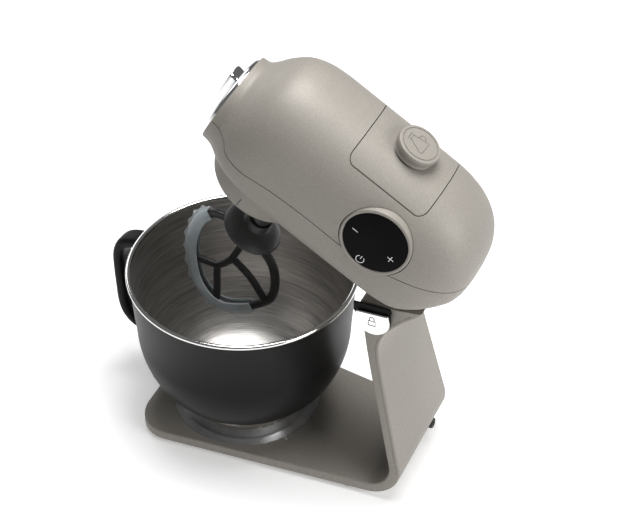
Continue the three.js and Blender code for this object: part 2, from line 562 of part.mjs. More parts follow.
const planePoint = ([y, depth]) => new THREE.Vector3(0, y, discTop - depth);
function bar(list, width, thickness, steps, closed = false) {
  const route = new THREE.CatmullRomCurve3(list.map(planePoint), closed);
  const section = new THREE.Shape(points2(roundedBox(-width / 2, width / 2, -thickness / 2,
    thickness / 2, 1.8, 1)));
  return new THREE.ExtrudeGeometry(section, { steps, extrudePath: route, bevelEnabled: false });
}
const ARM = [[0, 14], [-16, 16], [-33.5, 21], [-42, 33], [-42.5, 50], [-37, 71.5], [-25.5, 93],
  [-10, 111], [8, 120.5], [24, 119], [37, 108], [48.5, 92], [55.3, 75.5], [54.5, 60], [46, 42],
  [34, 29], [17, 21], [0, 16]];
const RIBS = [
  [[0, 12], [2, 40], [3, 60]], [[3, 60], [26, 62], [53, 77]], [[3, 60], [0, 70], [-3.5, 79]],
  [[-3.5, 79], [-14, 84], [-28, 91]], [[-3.5, 79], [6, 98], [16.5, 119]],
];
const beaterHub = cut(turned('z', [[0, discTop - 22], [6, discTop - 22], [BEATER.hub, discTop - 18],
  [BEATER.hub, discTop + 26], [0, discTop + 26]], 20), disc('z', BEATER.shaft + GAP, discTop - 14,
  discTop + 30, 14), box(-12, 0, -2.2, 2.2, discTop + 15, discTop + 30));
const frame = join(bar(ARM, 2 * BEATER.arm, BEATER.thickness, 36),
  ...RIBS.map((rib) => bar(rib, 7, BEATER.thickness - 1, 4)), disc('z', 8, discTop - 24,
    discTop - 10, 16));
add(head, 'beater_frame', join(beaterHub, cut(frame, disc('z', BEATER.shaft + GAP, discTop - 14,
  discTop + 30, 14))), blackCoat(), atPlanet);

const SCRAPER = { thickness: 4.6, width: 8, start: 0.13, end: 0.53 };

// The scraper lies along the outside of the arm, from its front shoulder round to the bottom.
function scraper() {
  const route = new THREE.CatmullRomCurve3(ARM.map(planePoint));
  const offset = BEATER.arm + GAP + SCRAPER.thickness / 2;
  const side = [];
  for (let u = SCRAPER.start; u <= SCRAPER.end; u += 0.04) {
    const point = route.getPoint(u);
    const tangent = route.getTangent(u);
    side.push([point.y + tangent.z * offset, discTop - point.z + tangent.y * offset]);
  }
  return bar(side, SCRAPER.thickness, SCRAPER.width, 16);
}
add(head, 'silicone_scraper', cut(scraper(), bar(ARM, 2 * BEATER.arm + 0.8, BEATER.thickness + 1, 36)),
  silicone(), atPlanet);

// ---------------------------------------------------------------- hinge bracket
const bracketOutline = [[117, HEAD.bottom - GAP], [117, 216.5], [120, 215], [148, 214.6],
  [154.5, 206], ...arc(HINGE.y, HINGE.z, HINGE.knuckle, 180, 370, 10), [166, 208],
  [164.5, HEAD.bottom - GAP]];
add(head, 'hinge_bracket', cut(prism('x', bracketOutline, -HINGE.bracket, HINGE.bracket),
  disc('x', HINGE.pinRadius + GAP, -40, 40, 16).translate(0, HINGE.y, HINGE.z)), paint());

export default mixer;
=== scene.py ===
"""Visual model of a tilt-head stand mixer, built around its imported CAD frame.

Sizes are in millimetres, measured from the bowl's axis and from the top of the bed. Each piece
is shaped there and then settled into the frame, which is in metres. The head's pieces are
shaped as if the head were closed over the bowl, and turn about the hinge pin as they settle,
because the mixer rests with its head open.
"""

import json
import logging
import math
from dataclasses import dataclass, field
from enum import Enum
from typing import Callable, Protocol, Sequence

import bmesh
import bpy
from mathutils import Matrix, Vector
from mathutils.kdtree import KDTree


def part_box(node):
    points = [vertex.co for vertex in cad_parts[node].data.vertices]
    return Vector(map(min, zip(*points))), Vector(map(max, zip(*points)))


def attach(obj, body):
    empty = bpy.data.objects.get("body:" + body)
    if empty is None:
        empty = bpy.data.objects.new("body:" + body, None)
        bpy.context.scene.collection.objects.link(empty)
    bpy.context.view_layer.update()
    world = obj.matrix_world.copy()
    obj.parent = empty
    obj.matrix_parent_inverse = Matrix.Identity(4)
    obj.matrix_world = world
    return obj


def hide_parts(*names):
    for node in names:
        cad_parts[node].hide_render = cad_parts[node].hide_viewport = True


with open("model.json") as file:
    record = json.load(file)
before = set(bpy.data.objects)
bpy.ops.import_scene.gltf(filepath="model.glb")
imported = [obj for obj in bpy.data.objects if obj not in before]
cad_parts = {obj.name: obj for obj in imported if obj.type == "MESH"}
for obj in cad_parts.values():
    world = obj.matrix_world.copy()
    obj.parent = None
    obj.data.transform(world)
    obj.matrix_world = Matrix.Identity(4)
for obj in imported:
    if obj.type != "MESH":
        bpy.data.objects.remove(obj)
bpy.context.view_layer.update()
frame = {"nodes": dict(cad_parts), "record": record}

logging.basicConfig(level=logging.INFO, format="%(levelname)s %(message)s")
LOG = logging.getLogger("stand_mixer")

MM = 0.001
Point = tuple[float, float, float]
Flat = tuple[float, float]

HINGE_AT: Flat = (162.0, 200.0)
LEVER_SHAFT_AT: Flat = (167.0, 211.5)
NOSE_AT: Flat = (-65.4, 260.0)
DIAL_AT = (56.2, 108.2, 286.2, 6.0)
BEATER_OFFSET = 21.7


class Axis(Enum):
    """A frame axis that a profile is spun round or a prism is drawn along."""

    X = (1.0, 0.0, 0.0)
    Y = (0.0, 1.0, 0.0)
    Z = (0.0, 0.0, 1.0)


class Cut(Enum):
    """The ways that one solid changes another."""

    REMOVE = "DIFFERENCE"
    KEEP = "INTERSECT"
    ADD = "UNION"


# --------------------------------------------------------------------------- places
@dataclass(frozen=True)
class Layout:
    """Where the mixer's main features are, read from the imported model."""

    bowl_y: float
    bed_top: float
    hinge: Vector
    tilt: float

    @classmethod
    def from_frame(cls) -> "Layout":
        """Reads the bowl's axis, the bed's height and the hinge from the frame."""
        low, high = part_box("bowl_seat")
        joint = next(j for j in frame["record"]["behaviour"]["joints"] if j["name"] == "head_tilt")
        return cls(
            bowl_y=(low[1] + high[1]) / 2,
            bed_top=high[2] + 0.6 * MM,
            hinge=Vector(joint["pos_m"]),
            tilt=math.radians(joint["range_deg"][1]),
        )

    def stand_place(self) -> Matrix:
        """Returns the matrix that takes a point of the stand to the frame."""
        return Matrix.Translation((0.0, self.bowl_y, self.bed_top)) @ Matrix.Scale(MM, 4)

    def head_place(self) -> Matrix:
        """Returns the matrix that takes a point of the closed head to the rest pose."""
        turn = Matrix.Rotation(-self.tilt, 4, "X")
        swing = Matrix.Translation(self.hinge) @ turn @ Matrix.Translation(-self.hinge)
        return swing @ self.stand_place()

    def dial_place(self, x: float, y: float, z: float, lean: float) -> Matrix:
        """Returns the matrix of the dial, which faces local +X and leans upwards.

        Args:
            x: The dial's seat, sideways from the middle.
            y: Its centre behind the bowl's axis.
            z: Its centre above the bed.
            lean: How far it leans upwards, in degrees.
        """
        turn = Matrix.Rotation(-math.radians(lean), 4, "Y")
        return self.head_place() @ Matrix.Translation((x, y, z)) @ turn


LAYOUT = Layout.from_frame()


# --------------------------------------------------------------------------- mesh work
def deselect() -> None:
    """Leaves edit mode and deselects every object."""
    if bpy.context.object and bpy.context.object.mode != "OBJECT":
        bpy.ops.object.mode_set(mode="OBJECT")
    bpy.ops.object.select_all(action="DESELECT")


def make_active(piece: bpy.types.Object) -> None:
    """Selects one object alone and makes it the active one.

    Args:
        piece: The object to work on.
    """
    deselect()
    piece.select_set(True)
    bpy.context.view_layer.objects.active = piece


def start_from_point(name: str, place: Point) -> bpy.types.Object:
    """Starts a mesh that holds one vertex and stays in edit mode.

    Args:
        name: The new object's name.
        place: Where the vertex stands.

    Returns:
        The new object.
    """
    deselect()
    bpy.ops.mesh.primitive_plane_add(size=1.0, location=(0.0, 0.0, 0.0))
    piece = bpy.context.object
    piece.name = name
    bpy.ops.object.mode_set(mode="EDIT")
    bpy.ops.mesh.select_all(action="SELECT")
    bpy.ops.mesh.merge(type="CENTER")
    bpy.ops.transform.translate(value=place)
    return piece


def draw_chain(name: str, points: Sequence[Point]) -> bpy.types.Object:
    """Draws an open chain of edges by extruding one vertex, and stays in edit mode.

    Args:
        name: The new object's name.
        points: The chain's points in order.

    Returns:
        The new object.
    """
    piece = start_from_point(name, points[0])
    for before, after in zip(points, points[1:]):
        step = Vector(after) - Vector(before)
        bpy.ops.mesh.extrude_region_move(TRANSFORM_OT_translate={"value": step})
    return piece


def tidy_shell(piece: bpy.types.Object, merge: float = 1e-4) -> bpy.types.Object:
    """Merges doubled vertices and turns all faces outwards.

    Args:
        piece: The object to clean.
        merge: The distance under which vertices are merged.

    Returns:
        The same object, in object mode.
    """
    make_active(piece)
    bpy.ops.object.mode_set(mode="EDIT")
    bpy.ops.mesh.select_all(action="SELECT")
    bpy.ops.mesh.remove_doubles(threshold=merge)
    bpy.ops.mesh.normals_make_consistent(inside=False)
    bpy.ops.object.mode_set(mode="OBJECT")
    return piece


def spin(
    name: str,
    profile: Sequence[Flat],
    centre: Point = (0.0, 0.0, 0.0),
    axis: Axis = Axis.Z,
    steps: int = 96,
) -> bpy.types.Object:
    """Turns a body on a lathe.

    Args:
        name: The new object's name.
        profile: (radius, height) points, from the axis to the axis, or closed on themselves.
        centre: The point on the axis at height 0.
        axis: The axis that the profile is spun round.
        steps: How many faces go round.

    Returns:
        The closed body.
    """
    place = {
        Axis.X: lambda r, h: (h, 0.0, r),
        Axis.Y: lambda r, h: (r, h, 0.0),
        Axis.Z: lambda r, h: (r, 0.0, h),
    }[axis]
    points = [tuple(Vector(place(r, h)) + Vector(centre)) for r, h in profile]
    piece = draw_chain(name, points)
    bpy.ops.mesh.select_all(action="SELECT")
    bpy.ops.mesh.spin(steps=steps, angle=2 * math.pi, center=centre, axis=axis.value)
    return tidy_shell(piece)


def prism(
    name: str, outline: Sequence[Flat], start: float, end: float, axis: Axis = Axis.Z
) -> bpy.types.Object:
    """Draws an outline and extrudes it along an axis.

    Args:
        name: The new object's name.
        outline: (y, z) points for X, (x, z) for Y, (x, y) for Z, in order round the outline.
        start: Where the prism starts on the axis.
        end: Where it ends.
        axis: The axis that it runs along.

    Returns:
        The closed body.
    """
    place = {
        Axis.X: lambda a, b: (start, a, b),
        Axis.Y: lambda a, b: (a, start, b),
        Axis.Z: lambda a, b: (a, b, start),
    }[axis]
    piece = draw_chain(name, [place(a, b) for a, b in outline])
    bpy.ops.mesh.select_all(action="SELECT")
    bpy.ops.mesh.edge_face_add()
    step = Vector(axis.value) * (end - start)
    bpy.ops.mesh.extrude_region_move(TRANSFORM_OT_translate={"value": step})
    return tidy_shell(piece)


def move_ring(piece: bpy.types.Object, old: Sequence[Vector], new: Sequence[Vector]) -> None:
    """Moves each selected vertex from its place in one ring to its place in the next.

    Args:
        piece: The object in edit mode.
        old: Where the selected vertices stand.
        new: Where they go, in the same order.
    """
    tree = KDTree(len(old))
    for index, point in enumerate(old):
        tree.insert(point, index)
    tree.balance()
    mesh = bmesh.from_edit_mesh(piece.data)
    for vertex in (v for v in mesh.verts if v.select):
        vertex.co = new[tree.find(vertex.co)[1]]
    bmesh.update_edit_mesh(piece.data)


def select_ring(piece: bpy.types.Object, ring: Sequence[Vector]) -> None:
    """Selects the vertices that stand on a ring, and nothing else.

    Args:
        piece: The object in edit mode.
        ring: The ring's points.
    """
    tree = KDTree(len(ring))
    for index, point in enumerate(ring):
        tree.insert(point, index)
    tree.balance()
    mesh = bmesh.from_edit_mesh(piece.data)
    for vertex in mesh.verts:
        vertex.select = tree.find(vertex.co)[2] < 1e-4
    mesh.select_flush(True)
    mesh.select_flush(False)
    bmesh.update_edit_mesh(piece.data)


def loft(name: str, rings: Sequence[Sequence[Point]]) -> bpy.types.Object:
    """Extrudes a ring of vertices through a row of stations and caps both ends.

    Args:
        name: The new object's name.
        rings: Rings with the same number of points, each in the same order.

    Returns:
        The closed body.
    """
    count = len(rings[0])
    deselect()
    bpy.ops.mesh.primitive_circle_add(vertices=count, radius=1.0, fill_type="NOTHING")
    piece = bpy.context.object
    piece.name = name
    start = [v.co.copy() for v in piece.data.vertices]
    bpy.ops.object.mode_set(mode="EDIT")
    bpy.ops.mesh.select_all(action="SELECT")
    stations = [[Vector(point) for point in ring] for ring in rings]
    move_ring(piece, start, stations[0])
    for before, after in zip(stations, stations[1:]):
        bpy.ops.mesh.extrude_region_move(TRANSFORM_OT_translate={"value": (0.0, 0.0, 0.0)})
        move_ring(piece, before, after)
    bpy.ops.mesh.edge_face_add()
    select_ring(piece, stations[0])
    bpy.ops.mesh.edge_face_add()
    return tidy_shell(piece)


def sweep(
    name: str, path: Sequence[Point], side: Point, section: Callable[[float], Sequence[Flat]]
) -> bpy.types.Object:
    """Draws a bar along a path that lies in one plane.

    Args:
        name: The new object's name.
        path: The bar's centre line.
        side: The direction square to the path's plane.
        section: Gives the outline at a share of the path, as (side, across) points.

    Returns:
        The closed bar.
    """
    line = [Vector(p) for p in path]
    flat = Vector(side).normalized()
    rings = []
    for i, point in enumerate(line):
        run = (line[min(i + 1, len(line) - 1)] - line[max(i - 1, 0)]).normalized()
        across = run.cross(flat).normalized()
        outline = section(i / (len(line) - 1))
        rings.append([tuple(point + flat * a + across * b) for a, b in outline])
    return loft(name, rings)


def ribbon(
    name: str, path: Sequence[Point], up: Point, sunk: float, proud: float, half: float
) -> bpy.types.Object:
    """Draws a thin flat line on a surface.

    Args:
        name: The new object's name.
        path: The line's middle, on the surface.
        up: The direction away from the surface.
        sunk: How deep the line reaches under the surface.
        proud: How far it stands proud.
        half: Half its width.

    Returns:
        The closed strip.
    """
    outline = [(-sunk, -half), (proud, -half), (proud, half), (-sunk, half)]
    return sweep(name, path, up, lambda share: outline)


def apply_modifier(piece: bpy.types.Object, kind: str, **settings: object) -> bpy.types.Object:
    """Adds a modifier to a piece and applies it.

    Args:
        piece: The object to change.
        kind: The modifier's type.
        **settings: The modifier's values.

    Returns:
        The same object.
    """
    make_active(piece)
    modifier = piece.modifiers.new(kind.lower(), kind)
    for key, value in settings.items():
        setattr(modifier, key, value)
    bpy.ops.object.modifier_apply(modifier=modifier.name)
    return piece


def combine(piece: bpy.types.Object, tool: bpy.types.Object, how: Cut) -> bpy.types.Object:
    """Cuts a piece by a tool, or joins the two, and uses the tool up.

    Args:
        piece: The object to change.
        tool: The other solid.
        how: What the tool does.

    Returns:
        The changed piece.
    """
    apply_modifier(piece, "BOOLEAN", object=tool, operation=how.value, solver="EXACT")
    bpy.data.objects.remove(tool, do_unlink=True)
    return piece


def round_edges(
    piece: bpy.types.Object, width: float, segments: int = 3, angle: float = 40.0
) -> bpy.types.Object:
    """Rounds the edges that are sharper than an angle.

    Args:
        piece: The object to change.
        width: The round's width.
        segments: How many faces make the round.
        angle: The sharpest angle that stays as it is, in degrees.

    Returns:
        The same object.
    """
    return apply_modifier(
        piece,
        "BEVEL",
        width=width,
        segments=segments,
        limit_method="ANGLE",
        angle_limit=math.radians(angle),
        use_clamp_overlap=True,
    )


def join(name: str, parts: Sequence[bpy.types.Object]) -> bpy.types.Object:
    """Joins several objects into one.

    Args:
        name: The joined object's name.
        parts: The objects; the first one is kept.

    Returns:
        The joined object.
    """
    deselect()
    for part in parts:
        part.select_set(True)
    bpy.context.view_layer.objects.active = parts[0]
    bpy.ops.object.join()
    parts[0].name = name
    return parts[0]


def settle(piece: bpy.types.Object, place: Matrix) -> bpy.types.Object:
    """Moves a piece by a matrix and puts that place into its mesh.

    Args:
        piece: The object to move.
        place: The matrix to move it by.

    Returns:
        The same object, standing at the origin unturned.
    """
    make_active(piece)
    piece.matrix_world = place @ piece.matrix_world
    bpy.ops.object.transform_apply(location=True, rotation=True, scale=True)
    return piece


def arc(cx: float, cy: float, radius: float, start: float, end: float, steps: int) -> list[Flat]:
    """Lists points on an arc, with angles in degrees and both ends included."""
    turns = (math.radians(start + (end - start) * i / steps) for i in range(steps + 1))
    return [(cx + radius * math.cos(a), cy + radius * math.sin(a)) for a in turns]


def rounded_box(
    x0: float, x1: float, y0: float, y1: float, radius: float, steps: int = 6
) -> list[Flat]:
    """Lists a rectangle's outline with rounded corners, anticlockwise."""
    return [
        *arc(x1 - radius, y1 - radius, radius, 0, 90, steps),
        *arc(x0 + radius, y1 - radius, radius, 90, 180, steps),
        *arc(x0 + radius, y0 + radius, radius, 180, 270, steps),
        *arc(x1 - radius, y0 + radius, radius, 270, 360, steps),
    ]


def smooth_through(knots: Sequence[Sequence[float]], steps: int) -> list[list[float]]:
    """Draws a smooth curve of any dimension through a few knots.

    Args:
        knots: The points that the curve passes.
        steps: How many pieces each stretch between two knots gets.

    Returns:
        The points of a Catmull-Rom curve, ends included.
    """
    result = []
    last = len(knots) - 1
    for i in range(last):
        p0, p1, p2 = knots[max(i - 1, 0)], knots[i], knots[i + 1]
        p3 = knots[min(i + 2, last)]
        for k in range(steps):
            t = k / steps
            result.append([
                0.5 * (2 * b + (c - a) * t + (2 * a - 5 * b + 4 * c - d) * t * t
                       + (3 * b - a - 3 * c + d) * t ** 3)
                for a, b, c, d in zip(p0, p1, p2, p3)
            ])
    result.append(list(knots[last]))
    return result


# --------------------------------------------------------------------------- finishes
class Nodes:
    """A small helper that adds and links nodes in one tree."""

    def __init__(self, tree: bpy.types.NodeTree) -> None:
        """Keeps the tree that nodes are added to.

        Args:
            tree: A material's or a group's node tree.
        """
        self.tree = tree

    def add(self, kind: str, **settings: object) -> bpy.types.Node:
        """Adds a node and sets its properties."""
        node = self.tree.nodes.new(kind)
        for key, value in settings.items():
            setattr(node, key, value)
        return node

    def link(self, source: bpy.types.NodeSocket, target: bpy.types.NodeSocket) -> None:
        """Links one socket to another."""
        self.tree.links.new(source, target)

    def math(self, operation: str, first: object, second: object = 0.0) -> bpy.types.NodeSocket:
        """Adds a Math node and returns its output.

        Args:
            operation: The node's operation.
            first: A socket or a number.
            second: A socket or a number.

        Returns:
            The node's output socket.
        """
        node = self.add("ShaderNodeMath", operation=operation)
        for socket, value in zip(node.inputs, (first, second)):
            if isinstance(value, bpy.types.NodeSocket):
                self.link(value, socket)
            else:
                socket.default_value = value
        return node.outputs[0]


def new_group(name: str, inputs: dict[str, float], outputs: dict[str, str]) -> Nodes:
    """Starts a shader node group.

    Args:
        name: The group's name.
        inputs: Its number inputs with their usual values.
        outputs: Its outputs with their socket types.

    Returns:
        A helper for the group's tree, with its input and output nodes added.
    """
    tree = bpy.data.node_groups.new(name, "ShaderNodeTree")
    for label, value in inputs.items():
        socket = tree.interface.new_socket(label, in_out="INPUT", socket_type="NodeSocketFloat")
        socket.default_value = value
    for label, kind in outputs.items():
        tree.interface.new_socket(label, in_out="OUTPUT", socket_type=kind)
    nodes = Nodes(tree)
    nodes.add("NodeGroupInput", name="in")
    nodes.add("NodeGroupOutput", name="out")
    return nodes


def build_fleck_group() -> bpy.types.NodeTree:
    """Builds the fine metal flecks and slight unevenness of sprayed paint.

    Returns:
        A group with a fleck mask, a mottle value and a bump height.
    """
    nodes = new_group(
        "paint_flecks",
        {"Fleck Scale": 3200.0, "Mottle Scale": 9.0},
        {"Flecks": "NodeSocketFloat", "Mottle": "NodeSocketFloat", "Height": "NodeSocketFloat"},
    )
    source, result = nodes.tree.nodes["in"], nodes.tree.nodes["out"]
    place = nodes.add("ShaderNodeTexCoord")
    cells = nodes.add("ShaderNodeTexVoronoi", feature="F1")
    nodes.link(place.outputs["Object"], cells.inputs["Vector"])
    nodes.link(source.outputs["Fleck Scale"], cells.inputs["Scale"])
    shade = nodes.add("ShaderNodeSeparateColor")
    nodes.link(cells.outputs["Color"], shade.inputs["Color"])
    bright = nodes.math("POWER", shade.outputs["Red"], 3.0)
    nodes.link(bright, result.inputs["Flecks"])
    mottle = nodes.add("ShaderNodeTexNoise")
    mottle.inputs["Detail"].default_value = 3.0
    nodes.link(place.outputs["Object"], mottle.inputs["Vector"])
    nodes.link(source.outputs["Mottle Scale"], mottle.inputs["Scale"])
    nodes.link(mottle.outputs["Fac"], result.inputs["Mottle"])
    peel = nodes.add("ShaderNodeTexNoise")
    peel.inputs["Scale"].default_value = 900.0
    peel.inputs["Detail"].default_value = 2.0
    nodes.link(place.outputs["Object"], peel.inputs["Vector"])
    raised = nodes.math("MULTIPLY", shade.outputs["Green"], 0.35)
    nodes.link(nodes.math("ADD", raised, peel.outputs["Fac"]), result.inputs["Height"])
    return nodes.tree


def build_brush_group() -> bpy.types.NodeTree:
    """Builds the fine rings that a spinning brush leaves in sheet steel.

    Returns:
        A group with a streak value that runs round an upright axis at its Centre Y.
    """
    nodes = new_group(
        "spun_brushing",
        {"Centre Y": 0.0, "Across": 1500.0, "Along": 3.0},
        {"Streaks": "NodeSocketFloat", "Bands": "NodeSocketFloat"},
    )
    source, result = nodes.tree.nodes["in"], nodes.tree.nodes["out"]
    place = nodes.add("ShaderNodeTexCoord")
    parts = nodes.add("ShaderNodeSeparateXYZ")
    nodes.link(place.outputs["Object"], parts.inputs["Vector"])
    y = nodes.math("SUBTRACT", parts.outputs["Y"], source.outputs["Centre Y"])
    x = parts.outputs["X"]
    angle = nodes.math("ARCTAN2", y, x)
    squares = nodes.math("ADD", nodes.math("MULTIPLY", x, x), nodes.math("MULTIPLY", y, y))
    radius = nodes.math("SQRT", squares)
    along = nodes.math("ADD", parts.outputs["Z"], nodes.math("MULTIPLY", radius, 0.8))
    across = nodes.math("MULTIPLY", along, source.outputs["Across"])
    spread = nodes.add("ShaderNodeCombineXYZ")
    nodes.link(across, spread.inputs["X"])
    for wave, target in (("COSINE", "Y"), ("SINE", "Z")):
        turn = nodes.math("MULTIPLY", nodes.math(wave, angle), source.outputs["Along"])
        nodes.link(turn, spread.inputs[target])
    for label, scale, detail in (("Streaks", 1.0, 4.0), ("Bands", 0.12, 2.0)):
        noise = nodes.add("ShaderNodeTexNoise")
        noise.inputs["Scale"].default_value = scale
        noise.inputs["Detail"].default_value = detail
        noise.inputs["Roughness"].default_value = 0.65
        nodes.link(spread.outputs["Vector"], noise.inputs["Vector"])
        nodes.link(noise.outputs["Fac"], result.inputs[label])
    return nodes.tree


def build_grain_group() -> bpy.types.NodeTree:
    """Builds the fine grain of moulded plastic, rubber and castings.

    Returns:
        A group with a grain height and a slow variation.
    """
    nodes = new_group(
        "moulded_grain",
        {"Grain Scale": 1200.0, "Patch Scale": 30.0},
        {"Grain": "NodeSocketFloat", "Patches": "NodeSocketFloat"},
    )
    source, result = nodes.tree.nodes["in"], nodes.tree.nodes["out"]
    place = nodes.add("ShaderNodeTexCoord")
    for label, size in (("Grain", "Grain Scale"), ("Patches", "Patch Scale")):
        noise = nodes.add("ShaderNodeTexNoise")
        noise.inputs["Detail"].default_value = 3.0
        nodes.link(place.outputs["Object"], noise.inputs["Vector"])
        nodes.link(source.outputs[size], noise.inputs["Scale"])
        nodes.link(noise.outputs["Fac"], result.inputs[label])
    return nodes.tree


GROUPS = {
    "flecks": build_fleck_group(),
    "brushing": build_brush_group(),
    "grain": build_grain_group(),
}


def start_material(name: str) -> tuple[bpy.types.Material, Nodes, bpy.types.Node]:
    """Starts a material with a bare Principled shader.

    Args:
        name: The material's name.

    Returns:
        The material, a helper for its tree and the shader node.
    """
    material = bpy.data.materials.new(name)
    material.use_nodes = True
    nodes = Nodes(material.node_tree)
    return material, nodes, material.node_tree.nodes["Principled BSDF"]


def add_group(nodes: Nodes, kind: str, **values: float) -> bpy.types.Node:
    """Places a shared group in a material.

    Args:
        nodes: The material's helper.
        kind: The group's key.
        **values: Its inputs, with spaces written as underscores.

    Returns:
        The group node.
    """
    node = nodes.add("ShaderNodeGroup")
    node.node_tree = GROUPS[kind]
    for key, value in values.items():
        node.inputs[key.replace("_", " ")].default_value = value
    return node


def shade_between(
    nodes: Nodes, value: bpy.types.NodeSocket, dark: Sequence[float], light: Sequence[float],
    low: float = 0.0, high: float = 1.0,
) -> bpy.types.NodeSocket:
    """Turns a value into a colour between two others.

    Args:
        nodes: The material's helper.
        value: The socket that chooses the colour.
        dark: The colour at the low value.
        light: The colour at the high value.
        low: The value that gives the dark colour.
        high: The value that gives the light colour.

    Returns:
        The colour socket.
    """
    ramp = nodes.add("ShaderNodeValToRGB")
    ramp.color_ramp.elements[0].position = low
    ramp.color_ramp.elements[0].color = (*dark, 1.0)
    ramp.color_ramp.elements[1].position = high
    ramp.color_ramp.elements[1].color = (*light, 1.0)
    nodes.link(value, ramp.inputs["Fac"])
    return ramp.outputs["Color"]


def range_of(
    nodes: Nodes, value: bpy.types.NodeSocket, low: float, high: float
) -> bpy.types.NodeSocket:
    """Maps a 0 to 1 value onto a range and returns the socket."""
    node = nodes.add("ShaderNodeMapRange")
    node.inputs["To Min"].default_value = low
    node.inputs["To Max"].default_value = high
    nodes.link(value, node.inputs["Value"])
    return node.outputs["Result"]


def bump(nodes: Nodes, shader: bpy.types.Node, height: bpy.types.NodeSocket, depth: float) -> None:
    """Feeds a height into a Bump node that turns the shader's normal.

    Args:
        nodes: The material's helper.
        shader: The Principled node.
        height: The height socket.
        depth: How deep the bump is, in metres.
    """
    node = nodes.add("ShaderNodeBump")
    node.inputs["Strength"].default_value = 1.0
    node.inputs["Distance"].default_value = depth
    nodes.link(height, node.inputs["Height"])
    nodes.link(node.outputs["Normal"], shader.inputs["Normal"])


class Finish(Protocol):
    """Anything that can build a material."""

    def build(self) -> bpy.types.Material:
        """Builds the material."""


@dataclass(frozen=True)
class SprayedPaint:
    """Satin paint with fine metal flecks, as on the head and the stand."""

    name: str
    dark: Point
    light: Point
    metal: float
    rough: tuple[float, float]
    coat: float = 0.1
    shine: float = 0.5

    def build(self) -> bpy.types.Material:
        """Builds the paint's material."""
        material, nodes, shader = start_material(self.name)
        flecks = add_group(nodes, "flecks")
        mixed = nodes.math("ADD", nodes.math("MULTIPLY", flecks.outputs["Flecks"], 0.75),
                           nodes.math("MULTIPLY", flecks.outputs["Mottle"], 0.25))
        colour = shade_between(nodes, mixed, self.dark, self.light, 0.05, 0.75)
        nodes.link(colour, shader.inputs["Base Color"])
        nodes.link(range_of(nodes, flecks.outputs["Mottle"], *self.rough),
                   shader.inputs["Roughness"])
        shader.inputs["Metallic"].default_value = self.metal
        shader.inputs["Coat Weight"].default_value = self.coat
        shader.inputs["Coat Roughness"].default_value = 0.35
        shader.inputs["Specular IOR Level"].default_value = self.shine
        bump(nodes, shader, flecks.outputs["Height"], 0.000008)
        return material


@dataclass(frozen=True)
class SpunSteel:
    """Steel with the rings of a spinning brush."""

    name: str
    dark: Point
    light: Point
    rough: tuple[float, float]
    depth: float = 0.00002

    def build(self) -> bpy.types.Material:
        """Builds the steel's material."""
        material, nodes, shader = start_material(self.name)
        rings = add_group(nodes, "brushing", Centre_Y=LAYOUT.bowl_y)
        mixed = nodes.math("ADD", nodes.math("MULTIPLY", rings.outputs["Streaks"], 0.7),
                           nodes.math("MULTIPLY", rings.outputs["Bands"], 0.3))
        colour = shade_between(nodes, mixed, self.dark, self.light, 0.36, 0.64)
        nodes.link(colour, shader.inputs["Base Color"])
        nodes.link(range_of(nodes, rings.outputs["Streaks"], *self.rough),
                   shader.inputs["Roughness"])
        shader.inputs["Metallic"].default_value = 1.0
        bump(nodes, shader, mixed, self.depth)
        return material


@dataclass(frozen=True)
class Moulded:
    """Plastic, rubber or a casting with a fine grain."""

    name: str
    dark: Point
    light: Point
    rough: tuple[float, float]
    metal: float = 0.0
    grain: float = 1200.0
    depth: float = 0.00003
    shine: float = 0.5

    def build(self) -> bpy.types.Material:
        """Builds the grained material."""
        material, nodes, shader = start_material(self.name)
        grain = add_group(nodes, "grain", Grain_Scale=self.grain)
        colour = shade_between(nodes, grain.outputs["Patches"], self.dark, self.light, 0.3, 0.7)
        nodes.link(colour, shader.inputs["Base Color"])
        nodes.link(range_of(nodes, grain.outputs["Grain"], *self.rough),
                   shader.inputs["Roughness"])
        shader.inputs["Metallic"].default_value = self.metal
        shader.inputs["Specular IOR Level"].default_value = self.shine
        bump(nodes, shader, grain.outputs["Grain"], self.depth)
        return material


@dataclass(frozen=True)
class ClearRubber:
    """Milky silicone that lets some light through."""

    name: str
    dark: Point
    light: Point
    through: float

    def build(self) -> bpy.types.Material:
        """Builds the silicone's material."""
        material, nodes, shader = start_material(self.name)
        grain = add_group(nodes, "grain", Grain_Scale=300.0, Patch_Scale=45.0)
        colour = shade_between(nodes, grain.outputs["Patches"], self.dark, self.light, 0.3, 0.7)
        nodes.link(colour, shader.inputs["Base Color"])
        nodes.link(range_of(nodes, grain.outputs["Grain"], 0.32, 0.45),
                   shader.inputs["Roughness"])
        shader.inputs["Transmission Weight"].default_value = self.through
        shader.inputs["IOR"].default_value = 1.41
        bump(nodes, shader, grain.outputs["Grain"], 0.00003)
        return material


